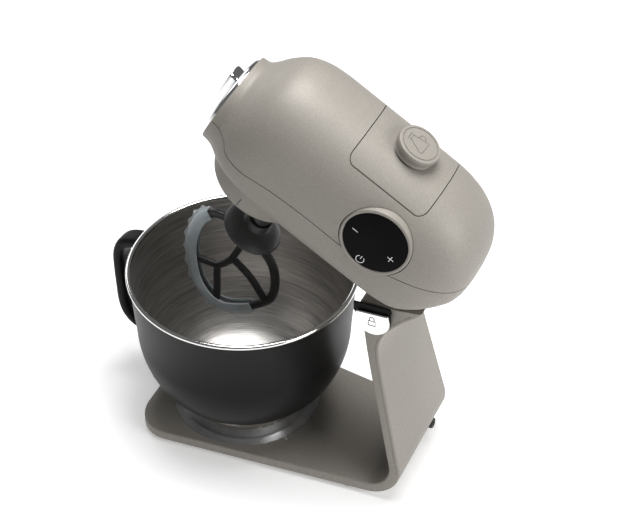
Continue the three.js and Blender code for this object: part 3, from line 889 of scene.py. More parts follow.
FINISHES: dict[str, Finish] = {
    "taupe": SprayedPaint("taupe_satin_paint", (0.235, 0.217, 0.192), (0.335, 0.312, 0.28),
                          0.15, (0.5, 0.56), 0.0, 0.4),
    "black_coat": SprayedPaint("black_satin_coat", (0.006, 0.006, 0.006), (0.011, 0.011, 0.0112),
                               0.0, (0.36, 0.42), 0.0, 0.07),
    "arm_coat": SprayedPaint("dark_grey_coat", (0.022, 0.022, 0.023), (0.05, 0.05, 0.052), 0.3,
                             (0.34, 0.42), 0.1),
    "brushed": SpunSteel("spun_brushed_steel", (0.26, 0.248, 0.235), (0.66, 0.645, 0.625),
                         (0.3, 0.46)),
    "bright": SpunSteel("bright_rim_steel", (0.72, 0.715, 0.70), (0.9, 0.895, 0.88),
                        (0.08, 0.16), 0.000004),
    "chrome": Moulded("bright_chrome", (0.86, 0.865, 0.87), (0.92, 0.925, 0.93), (0.03, 0.06),
                      metal=1.0, grain=500.0, depth=0.000002),
    "disc_plastic": Moulded("splash_disc_plastic", (0.022, 0.022, 0.023), (0.05, 0.05, 0.052),
                            (0.36, 0.5)),
    "plastic": Moulded("black_plastic", (0.015, 0.015, 0.015), (0.03, 0.03, 0.03), (0.4, 0.55)),
    "rubber": Moulded("foot_rubber", (0.012, 0.012, 0.012), (0.025, 0.025, 0.025), (0.7, 0.85)),
    "glass": Moulded("touch_panel_gloss", (0.002, 0.002, 0.0022), (0.004, 0.004, 0.0045),
                     (0.04, 0.06), grain=60.0, depth=0.000001, shine=0.04),
    "print": Moulded("white_print", (0.75, 0.76, 0.77), (0.9, 0.9, 0.9), (0.4, 0.5)),
    # Taupe darkened to painted shade: it stands for the shade in the grooves and round the relief
    # of the engraved jug and the embossed padlock.
    "relief_shade": Moulded("painted_relief_shade", (0.05, 0.047, 0.042), (0.09, 0.085, 0.075), (0.5, 0.6)),
    "steel": Moulded("machined_steel", (0.42, 0.42, 0.425), (0.62, 0.62, 0.625), (0.22, 0.34),
                     metal=1.0, grain=1800.0),
    "cast": Moulded("cast_alloy", (0.34, 0.34, 0.345), (0.5, 0.5, 0.505), (0.4, 0.55), metal=0.9,
                    grain=700.0, depth=0.00006),
    "brass": Moulded("bearing_bronze", (0.42, 0.27, 0.10), (0.58, 0.38, 0.16), (0.3, 0.42),
                     metal=1.0),
    "copper": Moulded("enamelled_copper", (0.35, 0.13, 0.05), (0.52, 0.21, 0.09), (0.3, 0.45),
                      metal=0.9, grain=400.0, depth=0.0002),
    "nylon": Moulded("natural_nylon", (0.62, 0.58, 0.50), (0.72, 0.69, 0.62), (0.45, 0.6)),
    "board": Moulded("circuit_board", (0.01, 0.08, 0.03), (0.02, 0.13, 0.05), (0.4, 0.6),
                     grain=260.0, depth=0.0002),
    "silicone": ClearRubber("milky_silicone", (0.52, 0.59, 0.62), (0.68, 0.74, 0.76), 0.25),
    "silicone_fin": ClearRubber("thin_silicone", (0.70, 0.74, 0.75), (0.82, 0.85, 0.86), 0.55),
}


def build_finishes() -> dict[str, bpy.types.Material]:
    """Builds every finish once.

    Returns:
        The materials by their keys.
    """
    return {key: finish.build() for key, finish in FINISHES.items()}


MATERIALS = build_finishes()


def dress(piece: bpy.types.Object, finish: str, smooth: float = 35.0) -> bpy.types.Object:
    """Gives a piece its finish and smooth shading.

    Args:
        piece: The object to dress.
        finish: The finish's key.
        smooth: The angle under which faces are shaded smooth, in degrees.

    Returns:
        The same object.
    """
    piece.data.materials.clear()
    piece.data.materials.append(MATERIALS[finish])
    make_active(piece)
    bpy.ops.object.shade_smooth_by_angle(angle=math.radians(smooth))
    return piece


def place_piece(
    piece: bpy.types.Object, body: str, slot: str, replaced: Sequence[str] = ()
) -> bpy.types.Object:
    """Hands a finished piece to the frame.

    Args:
        piece: The object.
        body: The CAD body that it moves with.
        slot: The record's material slot that it belongs to; not used.
        replaced: The CAD nodes that it stands for.

    Returns:
        The same object.
    """
    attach(piece, body)
    if replaced:
        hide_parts(*replaced)
    LOG.info("%s: %d faces on %s", piece.name, len(piece.data.polygons), body)
    return piece


def hand_over(
    piece: bpy.types.Object, place: Matrix, finish: str, body: str, slot: str,
    replaced: Sequence[str] = (), smooth: float = 35.0,
) -> None:
    """Settles a shaped piece, dresses it and hands it to the frame.

    Args:
        piece: The object, in the mixer's own millimetres.
        place: The matrix that takes it into the frame.
        finish: The finish's key.
        body: The CAD body that it moves with.
        slot: The record's material slot that it belongs to.
        replaced: The CAD nodes that it stands for.
        smooth: The angle under which faces are shaded smooth, in degrees.
    """
    settle(piece, place)
    place_piece(dress(piece, finish, smooth), body, slot, replaced)


def paint_faces(
    piece: bpy.types.Object, finish: str, chosen: Callable[[bpy.types.MeshPolygon], bool]
) -> None:
    """Gives a second finish to the faces that a test chooses.

    Args:
        piece: The object in object mode.
        finish: The finish's key.
        chosen: Says whether a face takes the finish.
    """
    piece.data.materials.append(MATERIALS[finish])
    slot = len(piece.data.materials) - 1
    for face in piece.data.polygons:
        if chosen(face):
            face.material_index = slot


# --------------------------------------------------------------------------- the head
def head_ring(
    y: float, half: float, top: float, bottom: float, above: float, below: float, wall: float
) -> list[Point]:
    """Lists one cross-section of the head, a squarer oval below than above.

    Args:
        y: Where the section stands.
        half: Its half-width.
        top: Its highest point.
        bottom: Its lowest point.
        above: How square its upper half is, 2 being an ellipse.
        below: How square its lower half is.
        wall: How far the section lies inside the skin.

    Returns:
        The section's points.
    """
    blend = min(max((y + 50.0) / 60.0, 0.0), 1.0)
    middle = 260.0 + 10.0 * blend * blend * (3.0 - 2.0 * blend)
    ring = []
    for i in range(HeadShells.AROUND):
        angle = 2.0 * math.pi * i / HeadShells.AROUND
        c, s = math.cos(angle), math.sin(angle)
        power = 2.0 / (above if s >= 0.0 else below)
        rise = (top - middle if s >= 0.0 else middle - bottom) - wall
        ring.append((
            (half - wall) * math.copysign(abs(c) ** power, c),
            y,
            middle + rise * math.copysign(abs(s) ** power, s),
        ))
    return ring


@dataclass
class HeadShells:
    """The head's upper and lower shells, its lid and the cap on the lid."""

    AROUND = 96
    wall: float = 2.6
    seam_gap: float = 0.9
    lid: tuple[float, float, float, float] = (-43.4, 43.4, 44.6, 125.6)
    lid_corner: float = 8.0
    lid_gap: float = 0.8
    dial: tuple[float, float, float, float] = DIAL_AT
    dial_opening: float = 33.5
    nose: tuple[float, float, float] = (*NOSE_AT, 40.8)
    hub_opening: float = 49.4
    cap_y: float = 86.0
    cap_top: float = 353.0
    stations: list[list[float]] = field(default_factory=lambda: [
        [-65.4, 42.2, 302.2, 217.8, 2.0, 2.0], [-64.0, 43.4, 303.4, 216.6, 2.0, 2.0],
        [-57.0, 44.4, 304.4, 215.6, 2.0, 2.0], [-51.0, 48.0, 311.7, 216.0, 2.03, 2.1],
        [-44.0, 52.9, 322.3, 218.5, 2.08, 2.5], [-32.0, 58.2, 334.2, 222.0, 2.16, 3.4],
        [-16.0, 60.8, 340.0, 223.4, 2.26, 5.0], [2.0, 61.4, 341.3, 223.5, 2.32, 6.5],
        [24.0, 61.5, 341.4, 223.5, 2.32, 7.0], [60.0, 61.5, 341.4, 223.5, 2.32, 7.0],
        [100.0, 61.5, 341.4, 223.5, 2.32, 7.0], [130.0, 61.2, 341.0, 223.5, 2.32, 7.0],
        [145.0, 60.4, 339.0, 223.6, 2.29, 6.5], [158.0, 58.7, 335.0, 225.0, 2.27, 6.0],
        [170.0, 55.6, 328.5, 231.0, 2.25, 5.0], [180.0, 51.2, 320.0, 238.5, 2.25, 4.0],
        [188.0, 45.6, 310.0, 246.0, 2.2, 3.0], [194.0, 38.5, 298.5, 254.0, 2.1, 2.5],
        [197.6, 28.0, 286.0, 262.0, 2.05, 2.2],
    ])
    seam: list[Flat] = field(default_factory=lambda: [
        (-90.0, 263.0), (-49.0, 262.0), (-39.0, 255.0), (-20.0, 253.0), (-5.0, 255.5),
        (15.0, 258.5), (45.0, 260.0), (91.0, 260.0), (125.0, 264.5), (147.0, 270.0),
        (175.0, 278.0), (220.0, 292.0),
    ])

    def skin(self, name: str, wall: float) -> bpy.types.Object:
        """Lofts the head's whole form.

        Args:
            name: The new object's name.
            wall: How far it lies inside the outer skin.

        Returns:
            The closed body.
        """
        middle = (self.stations[0][0] + self.stations[-1][0]) / 2
        reach = (self.stations[-1][0] - self.stations[0][0]) / 2
        shrink = (reach - wall) / reach
        rings = [
            head_ring(middle + (y - middle) * shrink, half, top, bottom, above, below, wall)
            for y, half, top, bottom, above, below in smooth_through(self.stations, 4)
        ]
        return loft(name, rings)

    def hollow(self, name: str) -> bpy.types.Object:
        """Returns the head's skin as a shell with a wall."""
        return combine(self.skin(name, 0.0), self.skin("hollow", self.wall), Cut.REMOVE)

    def above_seam(self, shift: float) -> bpy.types.Object:
        """Draws the space above the seam.

        Args:
            shift: How far the space starts above the seam's line.
        """
        line = [(y, z + shift) for y, z in smooth_through(self.seam, 4)]
        outline = [*line, (220.0, 420.0), (-90.0, 420.0)]
        return prism("above_seam", outline, -90.0, 90.0, Axis.X)

    def lid_space(self, grow: float) -> bpy.types.Object:
        """Draws the lid's opening as an upright block."""
        x0, x1, y0, y1 = self.lid
        outline = rounded_box(x0 - grow, x1 + grow, y0 - grow, y1 + grow,
                              self.lid_corner + grow, 8)
        return prism("lid_space", outline, 308.0, 372.0)

    def dial_space(self) -> bpy.types.Object:
        """Draws the round opening that the dial stands in."""
        x, y, z, lean = self.dial
        tool = spin("dial_space", [(0.0, -11.0), (self.dial_opening, -11.0),
                                   (self.dial_opening, 20.0), (0.0, 20.0)], axis=Axis.X)
        turn = Matrix.Rotation(-math.radians(lean), 4, "Y")
        return settle(tool, Matrix.Translation((x, y, z)) @ turn)

    def nose_space(self) -> bpy.types.Object:
        """Draws the round opening in the head's front."""
        y, z, radius = self.nose
        return spin("nose_space", [(0.0, -15.0), (radius, -15.0), (radius, 5.0), (0.0, 5.0)],
                    (0.0, y, z), Axis.Y)

    def hub_space(self) -> bpy.types.Object:
        """Draws the round opening above the planetary hub."""
        return spin("hub_space", [(0.0, 190.0), (self.hub_opening, 190.0),
                                  (self.hub_opening, 223.0), (42.0, 223.4), (42.0, 240.0),
                                  (0.0, 240.0)])

    def build_shells(self) -> None:
        """Builds the upper and lower shells."""
        top = self.hollow("head_top_skin")
        for tool, how in ((self.above_seam(self.seam_gap / 2), Cut.KEEP),
                          (self.lid_space(self.lid_gap / 2), Cut.REMOVE),
                          (self.dial_space(), Cut.REMOVE), (self.nose_space(), Cut.REMOVE)):
            combine(top, tool, how)
        lower = self.hollow("head_lower_skin")
        for tool in (self.above_seam(-self.seam_gap / 2), self.dial_space(),
                     self.nose_space(), self.hub_space()):
            combine(lower, tool, Cut.REMOVE)
        for piece, node in ((top, "head_top_shell"), (lower, "head_lower_shell")):
            hand_over(tidy_shell(piece, 1e-3), LAYOUT.head_place(), "taupe", "head", "taupe_paint",
                      [node], 32.0)

    def build_lid(self) -> None:
        """Builds the lid in the head's crown."""
        lid = self.hollow("lid_panel")
        combine(lid, self.lid_space(-self.lid_gap / 2), Cut.KEEP)
        hole = spin("cap_hole", [(0.0, 320.0), (15.4, 320.0), (15.4, 360.0), (0.0, 360.0)],
                    (0.0, self.cap_y, 0.0))
        combine(lid, hole, Cut.REMOVE)
        hand_over(tidy_shell(lid, 1e-3), LAYOUT.head_place(), "taupe", "lid", "taupe_paint",
                  ["top_cover"], 32.0)

    def build_cap(self) -> None:
        """Builds the round cap over the blender drive, with its engraved jug drawn as dark lines of
        painted shade.
        """
        profile = [
            (0.0, 336.0), (15.0, 336.0), (15.0, 342.0), (18.9, 342.1), (18.5, 342.7),
            (18.3, 343.6), (18.3, 346.4), (18.7, 347.2), (19.6, 347.6), (20.0, 348.2),
            (20.0, 351.6), (19.7, 352.5), (19.0, 353.0), (17.1, 353.0),
            (16.9, 352.3), (16.3, 352.3), (16.1, 353.0), (0.0, 353.0),
        ]
        cap = spin("blender_drive_cap", profile, (0.0, self.cap_y, 0.0))
        hand_over(cap, LAYOUT.head_place(), "taupe", "lid", "taupe_paint", ["blender_cap"])
        jug = [(-8.2, 5.6), (-9.4, 3.4), (-2.2, -9.0), (3.4, -9.0), (6.4, 6.4), (-8.2, 5.6)]
        grip = [(4.4, -4.0), (9.6, -2.6), (9.8, 1.2), (5.6, 2.4)]
        foot = [(-2.4, -9.0), (-3.6, -11.6), (4.4, -11.6), (3.2, -9.0)]
        lines = [self.engraved(line) for line in (jug, grip, foot)]
        # The jug's lines are dark painted shade that stands for the shade in the engraved grooves.
        hand_over(join("blender_icon", lines), LAYOUT.head_place(), "relief_shade", "lid",
                  "taupe_paint")

    def engraved(self, line: Sequence[Flat]) -> bpy.types.Object:
        """Draws one line of the jug on the cap, as a strip that is dressed dark as painted shade.

        Args:
            line: Its points, seen from above with the head's rear upwards.

        Returns:
            A flat strip that stands barely proud of the cap.
        """
        path = [(-a, self.cap_y + b, self.cap_top) for a, b in line]
        return ribbon("icon_line", path, Axis.Z.value, 0.2, 0.06, 0.3)

    def build(self) -> None:
        """Builds every piece of the head's skin."""
        self.build_shells()
        self.build_lid()
        self.build_cap()


@dataclass
class TouchDial:
    """The round touch panel on the head's side, in its painted drum."""

    place: tuple[float, float, float, float] = DIAL_AT
    radius: float = 33.0
    glass: float = 29.5

    def build(self) -> None:
        """Builds the drum, the glass and the printed icons."""
        r, g = self.radius, self.glass
        drum = spin("dial_drum", [
            (0.0, -6.0), (r, -6.0), (r, 2.6), (r - 0.3, 3.4), (r - 1.0, 3.9), (r - 1.8, 4.0),
            (g + 0.9, 4.0), (g + 0.5, 3.8), (g + 0.35, 3.3), (g + 0.35, -0.4),
            (g - 2.0, -0.4), (g - 2.0, -4.6), (0.0, -4.6),
        ], axis=Axis.X, steps=128)
        glass = spin("dial_glass", [(0.0, -0.1), (g, -0.1), (g, 2.5), (g - 0.4, 2.9),
                                    (g - 1.0, 3.0), (0.0, 3.05)], axis=Axis.X, steps=128)
        for piece, finish, slot, node in (
            (drum, "taupe", "taupe_paint", "control_ring"),
            (glass, "glass", "black_glass", "control_glass"),
        ):
            hand_over(piece, LAYOUT.dial_place(*self.place), finish, "head", slot, [node])
        icons = [
            self.stroke([(-22.6, -2.8), (-16.8, -2.8)]),
            self.stroke([(16.0, -3.9), (22.4, -3.9)]),
            self.stroke([(19.2, -7.1), (19.2, -0.7)]),
            self.stroke([(-0.3, -24.0), (-0.3, -20.4)]),
            self.stroke(arc(-0.3, -24.5, 3.7, 125.0, 415.0, 28)),
        ]
        hand_over(join("dial_icons", icons), LAYOUT.dial_place(*self.place), "print", "head",
                  "black_glass")

    def stroke(self, line: Sequence[Flat], half: float = 0.3) -> bpy.types.Object:
        """Draws one printed line on the glass.

        Args:
            line: Its points, as (to the rear, up).
            half: Half its width.

        Returns:
            A thin strip on the glass.
        """
        path = [(3.06, u, v) for u, v in line]
        return ribbon("print_line", path, Axis.X.value, 0.1, 0.05, half)


@dataclass
class FrontHub:
    """The bright cap that closes the attachment hub in the head's nose."""

    y: float = NOSE_AT[0]
    z: float = NOSE_AT[1]
    radius: float = 40.5
    grip_depth: float = 12.5

    def build(self) -> None:
        """Builds the domed cap with its grip block."""
        dome = [
            (0.0, 3.0), (self.radius, 3.0), (self.radius, 0.2), (self.radius - 0.4, -0.7),
            *[(self.radius * math.cos(t) - 0.9, -0.9 - 6.9 * math.sin(t))
              for t in (math.pi / 2 * i / 14 for i in range(14))],
            (0.0, -7.8),
        ]
        cap = spin("hub_cap_dome", dome, (0.0, self.y, self.z), Axis.Y)
        front = self.y - self.grip_depth
        outline = [(-8.5, -6.0), (8.5, -6.0), (8.5, 27.0), (-8.5, 27.0)]
        rings = []
        for y, side, low, high in ((self.y - 1.0, 7.6, -4.6, 25.4), (self.y - 4.0, 7.8, -4.8, 25.8),
                                   (self.y - 8.0, 8.5, -5.6, 26.6), (front, 8.5, -6.0, 27.0)):
            rings.append([
                (side if x > 0 else -side, y, self.z + (high if z > 0 else low))
                for x, z in outline
            ])
        grip = round_edges(loft("hub_grip", rings), 2.6, 5)
        join("hub_cap_with_grip", [cap, grip])
        hand_over(cap, LAYOUT.head_place(), "chrome", "front_cap", "chrome", ["front_hub_cap"])


@dataclass
class PlanetaryHub:
    """The turning hub under the head's nose that carries the beater round."""

    radius: float = 49.0
    bottom: float = 201.0
    top: float = 222.8
    wall: float = 3.0
    offset: float = BEATER_OFFSET
    bore: float = 4.5
    index: float = -4.0

    def build(self) -> None:
        """Builds the hub's cup and the index line on its rim."""
        r, b = self.radius, self.bottom
        cup = spin("planetary_cup", [
            (0.0, b + 2.4), (0.0, b), (r - 6.0, b), (r - 3.6, b + 0.4), (r - 1.6, b + 1.5),
            (r - 0.5, b + 3.1), (r, b + 5.0), (r, self.top - 0.4), (r - 0.4, self.top),
            (r - self.wall, self.top), (r - self.wall, b + 5.0), (10.0, b + 5.0),
            (10.0, b + 11.0), (6.3, b + 11.0), (6.3, b + 2.4), (0.0, b + 2.4),
        ])
        bore = spin("shaft_bore", [(0.0, 190.0), (self.bore, 190.0), (self.bore, 214.0),
                                   (0.0, 214.0)], (0.0, self.offset, 0.0), steps=48)
        combine(cup, bore, Cut.REMOVE)
        hand_over(tidy_shell(cup), LAYOUT.head_place(), "taupe", "planetary", "taupe_paint",
                  ["planetary_hub"])
        mark = sweep("index_line", [(r + 0.02, 0.0, b + 5.2), (r + 0.02, 0.0, b + 14.0)],
                     (0.0, 1.0, 0.0),
                     lambda share: [(-0.4, -0.3), (0.4, -0.3), (0.4, 0.08), (-0.4, 0.08)])
        settle(mark, Matrix.Rotation(math.radians(self.index), 4, "Z"))
        hand_over(mark, LAYOUT.head_place(), "plastic", "planetary", "taupe_paint")


# --------------------------------------------------------------------------- the beater
@dataclass
class Beater:
    """The flex-edge beater with its splash disc and its silicone scraper."""

    shaft_y: float = BEATER_OFFSET
    disc: float = 150.0
    width: float = 8.6
    thickness: float = 6.4
    arm: list[Flat] = field(default_factory=lambda: [
        (0.0, 14.0), (-16.0, 16.0), (-33.5, 21.0), (-42.0, 33.0), (-42.5, 50.0), (-37.0, 71.5),
        (-25.5, 93.0), (-10.0, 111.0), (8.0, 120.5), (24.0, 119.0), (37.0, 108.0),
        (48.5, 92.0), (55.3, 75.5), (54.5, 60.0), (46.0, 42.0), (34.0, 29.0), (17.0, 21.0),
        (0.0, 16.0),
    ])
    ribs: list[list[Flat]] = field(default_factory=lambda: [
        [(0.0, 12.0), (1.6, 30.0), (2.8, 50.0), (3.0, 64.0)],
        [(3.0, 58.0), (14.0, 60.0), (30.0, 64.5), (53.0, 77.0)],
        [(3.0, 60.0), (0.6, 70.0), (-3.5, 79.0)],
        [(-3.5, 79.0), (-14.0, 84.0), (-27.5, 90.5)],
        [(-3.5, 79.0), (1.0, 89.0), (9.0, 104.0), (16.0, 118.0)],
    ])

    def place(self) -> Matrix:
        """Returns the matrix that takes a point of the beater to the rest pose."""
        return LAYOUT.head_place() @ Matrix.Translation((0.0, self.shaft_y, self.disc))

    def bar(
        self, name: str, line: Sequence[Flat], width: float, thick: float, steps: int = 6
    ) -> bpy.types.Object:
        """Draws a bar in the beater's plane.

        Args:
            name: The new object's name.
            line: (across, depth) points of its centre line.
            width: Its width in the plane.
            thick: Its thickness across the plane.
            steps: How many stations each stretch gets.

        Returns:
            The closed bar.
        """
        path = [(0.0, y, -depth) for y, depth in smooth_through(line, steps)]
        half_w, half_t = width / 2, thick / 2
        outline = [
            (half_t * math.copysign(abs(math.cos(t)) ** 0.62, math.cos(t)),
             half_w * math.copysign(abs(math.sin(t)) ** 0.62, math.sin(t)))
            for t in (2 * math.pi * (i + 0.5) / 20 for i in range(20))
        ]
        return sweep(name, path, (1.0, 0.0, 0.0), lambda share: outline)

    def build_frame(self) -> None:
        """Builds the coated frame: its hub, its loop and its ribs."""
        hub = spin("beater_casting", [
            (4.6, -14.0), (4.6, 26.0), (8.6, 26.0), (9.3, 25.6), (9.5, 24.8), (9.5, -16.0),
            (9.0, -18.5), (7.6, -21.0), (5.4, -23.4), (0.0, -24.6), (0.0, -14.0), (4.6, -14.0),
        ], steps=64)
        slot = prism("pin_slot", [(-12.0, -2.2), (0.0, -2.2), (0.0, 2.2), (-12.0, 2.2)],
                     15.0, 30.0)
        combine(hub, slot, Cut.REMOVE)
        bars = [self.bar("loop_bar", self.arm, self.width, self.thickness)]
        bars += [self.bar("rib_bar", rib, 7.0, self.thickness - 1.0, 8) for rib in self.ribs]
        shaft = spin("shaft_room", [(0.0, -14.0), (4.6, -14.0), (4.6, 30.0), (0.0, 30.0)],
                     steps=64)
        for bar in bars:
            combine(hub, bar, Cut.ADD)
        combine(hub, shaft, Cut.REMOVE)
        hand_over(tidy_shell(hub, 1e-3), self.place(), "arm_coat", "beater", "black_coat",
                  ["beater_frame"], 40.0)

    def outside(self, share: float, offset: float) -> Flat:
        """Finds a point beside the loop.

        Args:
            share: How far along the loop, from 0 to 1.
            offset: How far outside the loop's centre line.

        Returns:
            The point as (across, depth).
        """
        line = smooth_through(self.arm, 12)
        at = share * (len(line) - 1)
        i = min(int(at), len(line) - 2)
        t = at - i
        y = line[i][0] * (1 - t) + line[i + 1][0] * t
        depth = line[i][1] * (1 - t) + line[i + 1][1] * t
        run = Vector((line[i + 1][0] - line[i][0], line[i + 1][1] - line[i][1])).normalized()
        return y - run.y * offset, depth + run.x * offset

    def build_scraper(self) -> None:
        """Builds the silicone channel round the loop's side and its thin wavy lip."""
        start, end, stations = 0.15, 0.64, 108
        shares = [start + (end - start) * i / stations for i in range(stations + 1)]
        rings, lip = [], []
        inner, lip_root = self.width / 2 + 0.3, self.width / 2 + 1.7
        for i, share in enumerate(shares):
            section = [(-4.3, -5.3), (-4.6, 0.0), (-4.3, lip_root - 1.0), (-3.0, lip_root),
                       (3.0, lip_root), (4.3, lip_root - 1.0), (4.6, 0.0), (4.3, -5.3),
                       (3.35, -5.6), (3.35, inner), (-3.35, inner), (-3.35, -5.6)]
            rings.append([self.beside(share, x, reach) for x, reach in section])
            turn = i * 2 * math.pi / 9
            open_here = min(i, stations - i, abs(i - 66) - 3)
            fin = max(0.0, min(1.0, open_here / 3))
            reach = lip_root + 0.3 + (3.1 + 1.0 * math.sin(turn)) * fin
            lean = 0.9 * math.cos(turn) * fin
            lip.append([self.beside(share, x, r) for x, r in (
                (-0.8, lip_root - 0.5), (0.8, lip_root - 0.5), (0.45 + lean, reach),
                (-0.35 + lean, reach))])
        channel = loft("scraper_channel", rings)
        edge = loft("scraper_lip", lip)
        for piece, finish in ((channel, "silicone"), (edge, "silicone_fin")):
            nodes = ["silicone_scraper"] if piece is channel else []
            hand_over(piece, self.place(), finish, "beater", "silicone", nodes, 50.0)

    def beside(self, share: float, x: float, reach: float) -> Point:
        """Returns a point of the scraper's section at a share of the loop."""
        y, depth = self.outside(share, reach)
        return x, y, -depth

    def build_disc(self) -> None:
        """Builds the splash disc over the beater's hub."""
        disc = spin("splash_umbrella", [
            (10.0, 1.0), (11.0, -1.2), (16.0, -2.7), (22.0, -5.2), (27.6, -8.4), (28.4, -8.6),
            (29.0, -8.2), (29.1, -7.5), (27.6, -5.6), (24.0, -3.0), (19.0, -0.6), (14.0, 1.3),
            (13.0, 2.0), (12.6, 3.0), (12.4, 9.0), (12.0, 9.8), (11.4, 10.0), (10.3, 10.0),
            (10.0, 9.7), (10.0, 1.0),
        ], steps=96)
        hand_over(disc, self.place(), "disc_plastic", "beater", "black_plastic",
                  ["splash_disc"], 50.0)

    def build(self) -> None:
        """Builds every piece of the beater."""
        self.build_frame()
        self.build_scraper()
        self.build_disc()


# --------------------------------------------------------------------------- the bowl
@dataclass
class Bowl:
    """The coated steel bowl with its bare inside, rolled rim, foot ring and handle."""

    rim: float = 112.0
    height: float = 169.3
    wall: float = 1.2
    shoulder: float = 102.0
    shoulder_radius: float = 105.2
    flat: float = 30.0
    bottom: float = 11.0
    foot_radius: float = 65.0
    roll: float = 2.3
    handle_turn: float = 5.0
    handle_width: float = 22.0
    handle_thickness: float = 12.0
    spine: list[Flat] = field(default_factory=lambda: [
        (104.0, 153.0), (122.0, 151.5), (136.0, 145.0), (142.5, 132.0), (143.8, 116.0),
        (143.3, 93.0), (141.8, 66.0), (136.0, 51.0), (123.0, 43.0), (104.0, 44.0), (84.0, 50.0),
    ])

    def side(self, drop: float, steps: int = 28) -> list[Flat]:
        """Lists the bowl's side from its flat bottom up to the shoulder.

        Args:
            drop: How far inside the outer face.
            steps: How many pieces the curve gets.

        Returns:
            (radius, height) points.
        """
        reach = self.shoulder_radius - self.flat - drop
        fall = self.shoulder - self.bottom - drop
        angles = (math.pi / 2 * (1 - i / steps) for i in range(steps + 1))
        return [(self.flat + reach * math.cos(a), self.shoulder - fall * math.sin(a))
                for a in angles]

    def height_at(self, radius: float) -> float:
        """Returns the outer face's height at a radius below the shoulder."""
        share = (radius - self.flat) / (self.shoulder_radius - self.flat)
        return self.shoulder - (self.shoulder - self.bottom) * math.sqrt(1 - share * share)

    def build_vessel(self) -> None:
        """Builds the bowl itself, black outside and brushed steel inside."""
        roll_r, roll_z = self.rim - self.roll, self.height - self.roll
        outer = self.side(0.0)
        inner = self.side(self.wall)
        profile = [
            (0.0, self.bottom), *outer, (roll_r - 0.3, roll_z - 3.6),
            *arc(roll_r, roll_z, self.roll, -75.0, 170.0, 14),
            (roll_r - self.roll - 0.1, roll_z - 2.5), *reversed(inner),
            (0.0, self.bottom + self.wall),
        ]
        bowl = spin("bowl_vessel", profile, steps=192)
        dress(bowl, "black_coat", 50.0)

        def inside(face: bpy.types.MeshPolygon) -> bool:
            """Says whether a face looks at the bowl's axis or straight up."""
            flat = Vector((face.center.x, face.center.y, 0.0))
            inwards = face.normal.dot(flat.normalized()) < -0.02 if flat.length > 1.0 else False
            return face.center.z < roll_z - 1.0 and (inwards or face.normal.z > 0.6)

        paint_faces(bowl, "brushed", inside)
        paint_faces(bowl, "bright", lambda face: face.center.z >= roll_z - 2.6)
        settle(bowl, LAYOUT.stand_place())
        place_piece(bowl, "bowl", "black_coat", ["bowl"])

    def build_foot(self) -> None:
        """Builds the bright ring that the bowl stands on."""
        out, wall = self.foot_radius, 1.6
        inn = out - wall
        ring = spin("bowl_foot", [
            (inn - 2.5, 0.3), (inn - 2.1, -0.1), (inn - 1.5, -0.3), (out - 0.8, -0.3),
            (out - 0.2, -0.1), (out, 0.5), (out, self.height_at(out) - 0.5),
            (inn, self.height_at(inn) - 0.5), (inn, 1.2), (inn - 2.5, 1.2), (inn - 2.5, 0.3),
        ], steps=160)
        hand_over(ring, LAYOUT.stand_place(), "bright", "bowl", "steel", ["bowl_foot_ring"])

    def build_handle(self) -> None:
        """Builds the loop handle and trims its ends to the bowl's face."""
        half_w, half_t = self.handle_width / 2, self.handle_thickness / 2
        outline = [
            (half_w * math.copysign(abs(math.cos(t)) ** 0.55, math.cos(t)),
             half_t * math.copysign(abs(math.sin(t)) ** 0.7, math.sin(t)))
            for t in (2 * math.pi * (i + 0.5) / 32 for i in range(32))
        ]
        path = [(0.0, -r, z) for r, z in smooth_through(self.spine, 8)]
        handle = sweep("bowl_grip", path, (1.0, 0.0, 0.0), lambda share: outline)
        room = spin("bowl_room", [
            (0.0, 11.0), *[(r + 0.3, z) for r, z in self.side(0.0)], (self.rim - 0.3, 164.5),
            (self.rim + 0.4, 175.0), (0.0, 175.0),
        ], steps=192)
        combine(handle, room, Cut.REMOVE)
        settle(handle, Matrix.Rotation(-math.radians(self.handle_turn), 4, "Z"))
        hand_over(tidy_shell(handle, 1e-3), LAYOUT.stand_place(), "black_coat", "bowl",
                  "black_coat", ["bowl_handle"], 50.0)

    def build(self) -> None:
        """Builds every piece of the bowl."""
        self.build_vessel()
        self.build_foot()
        self.build_handle()


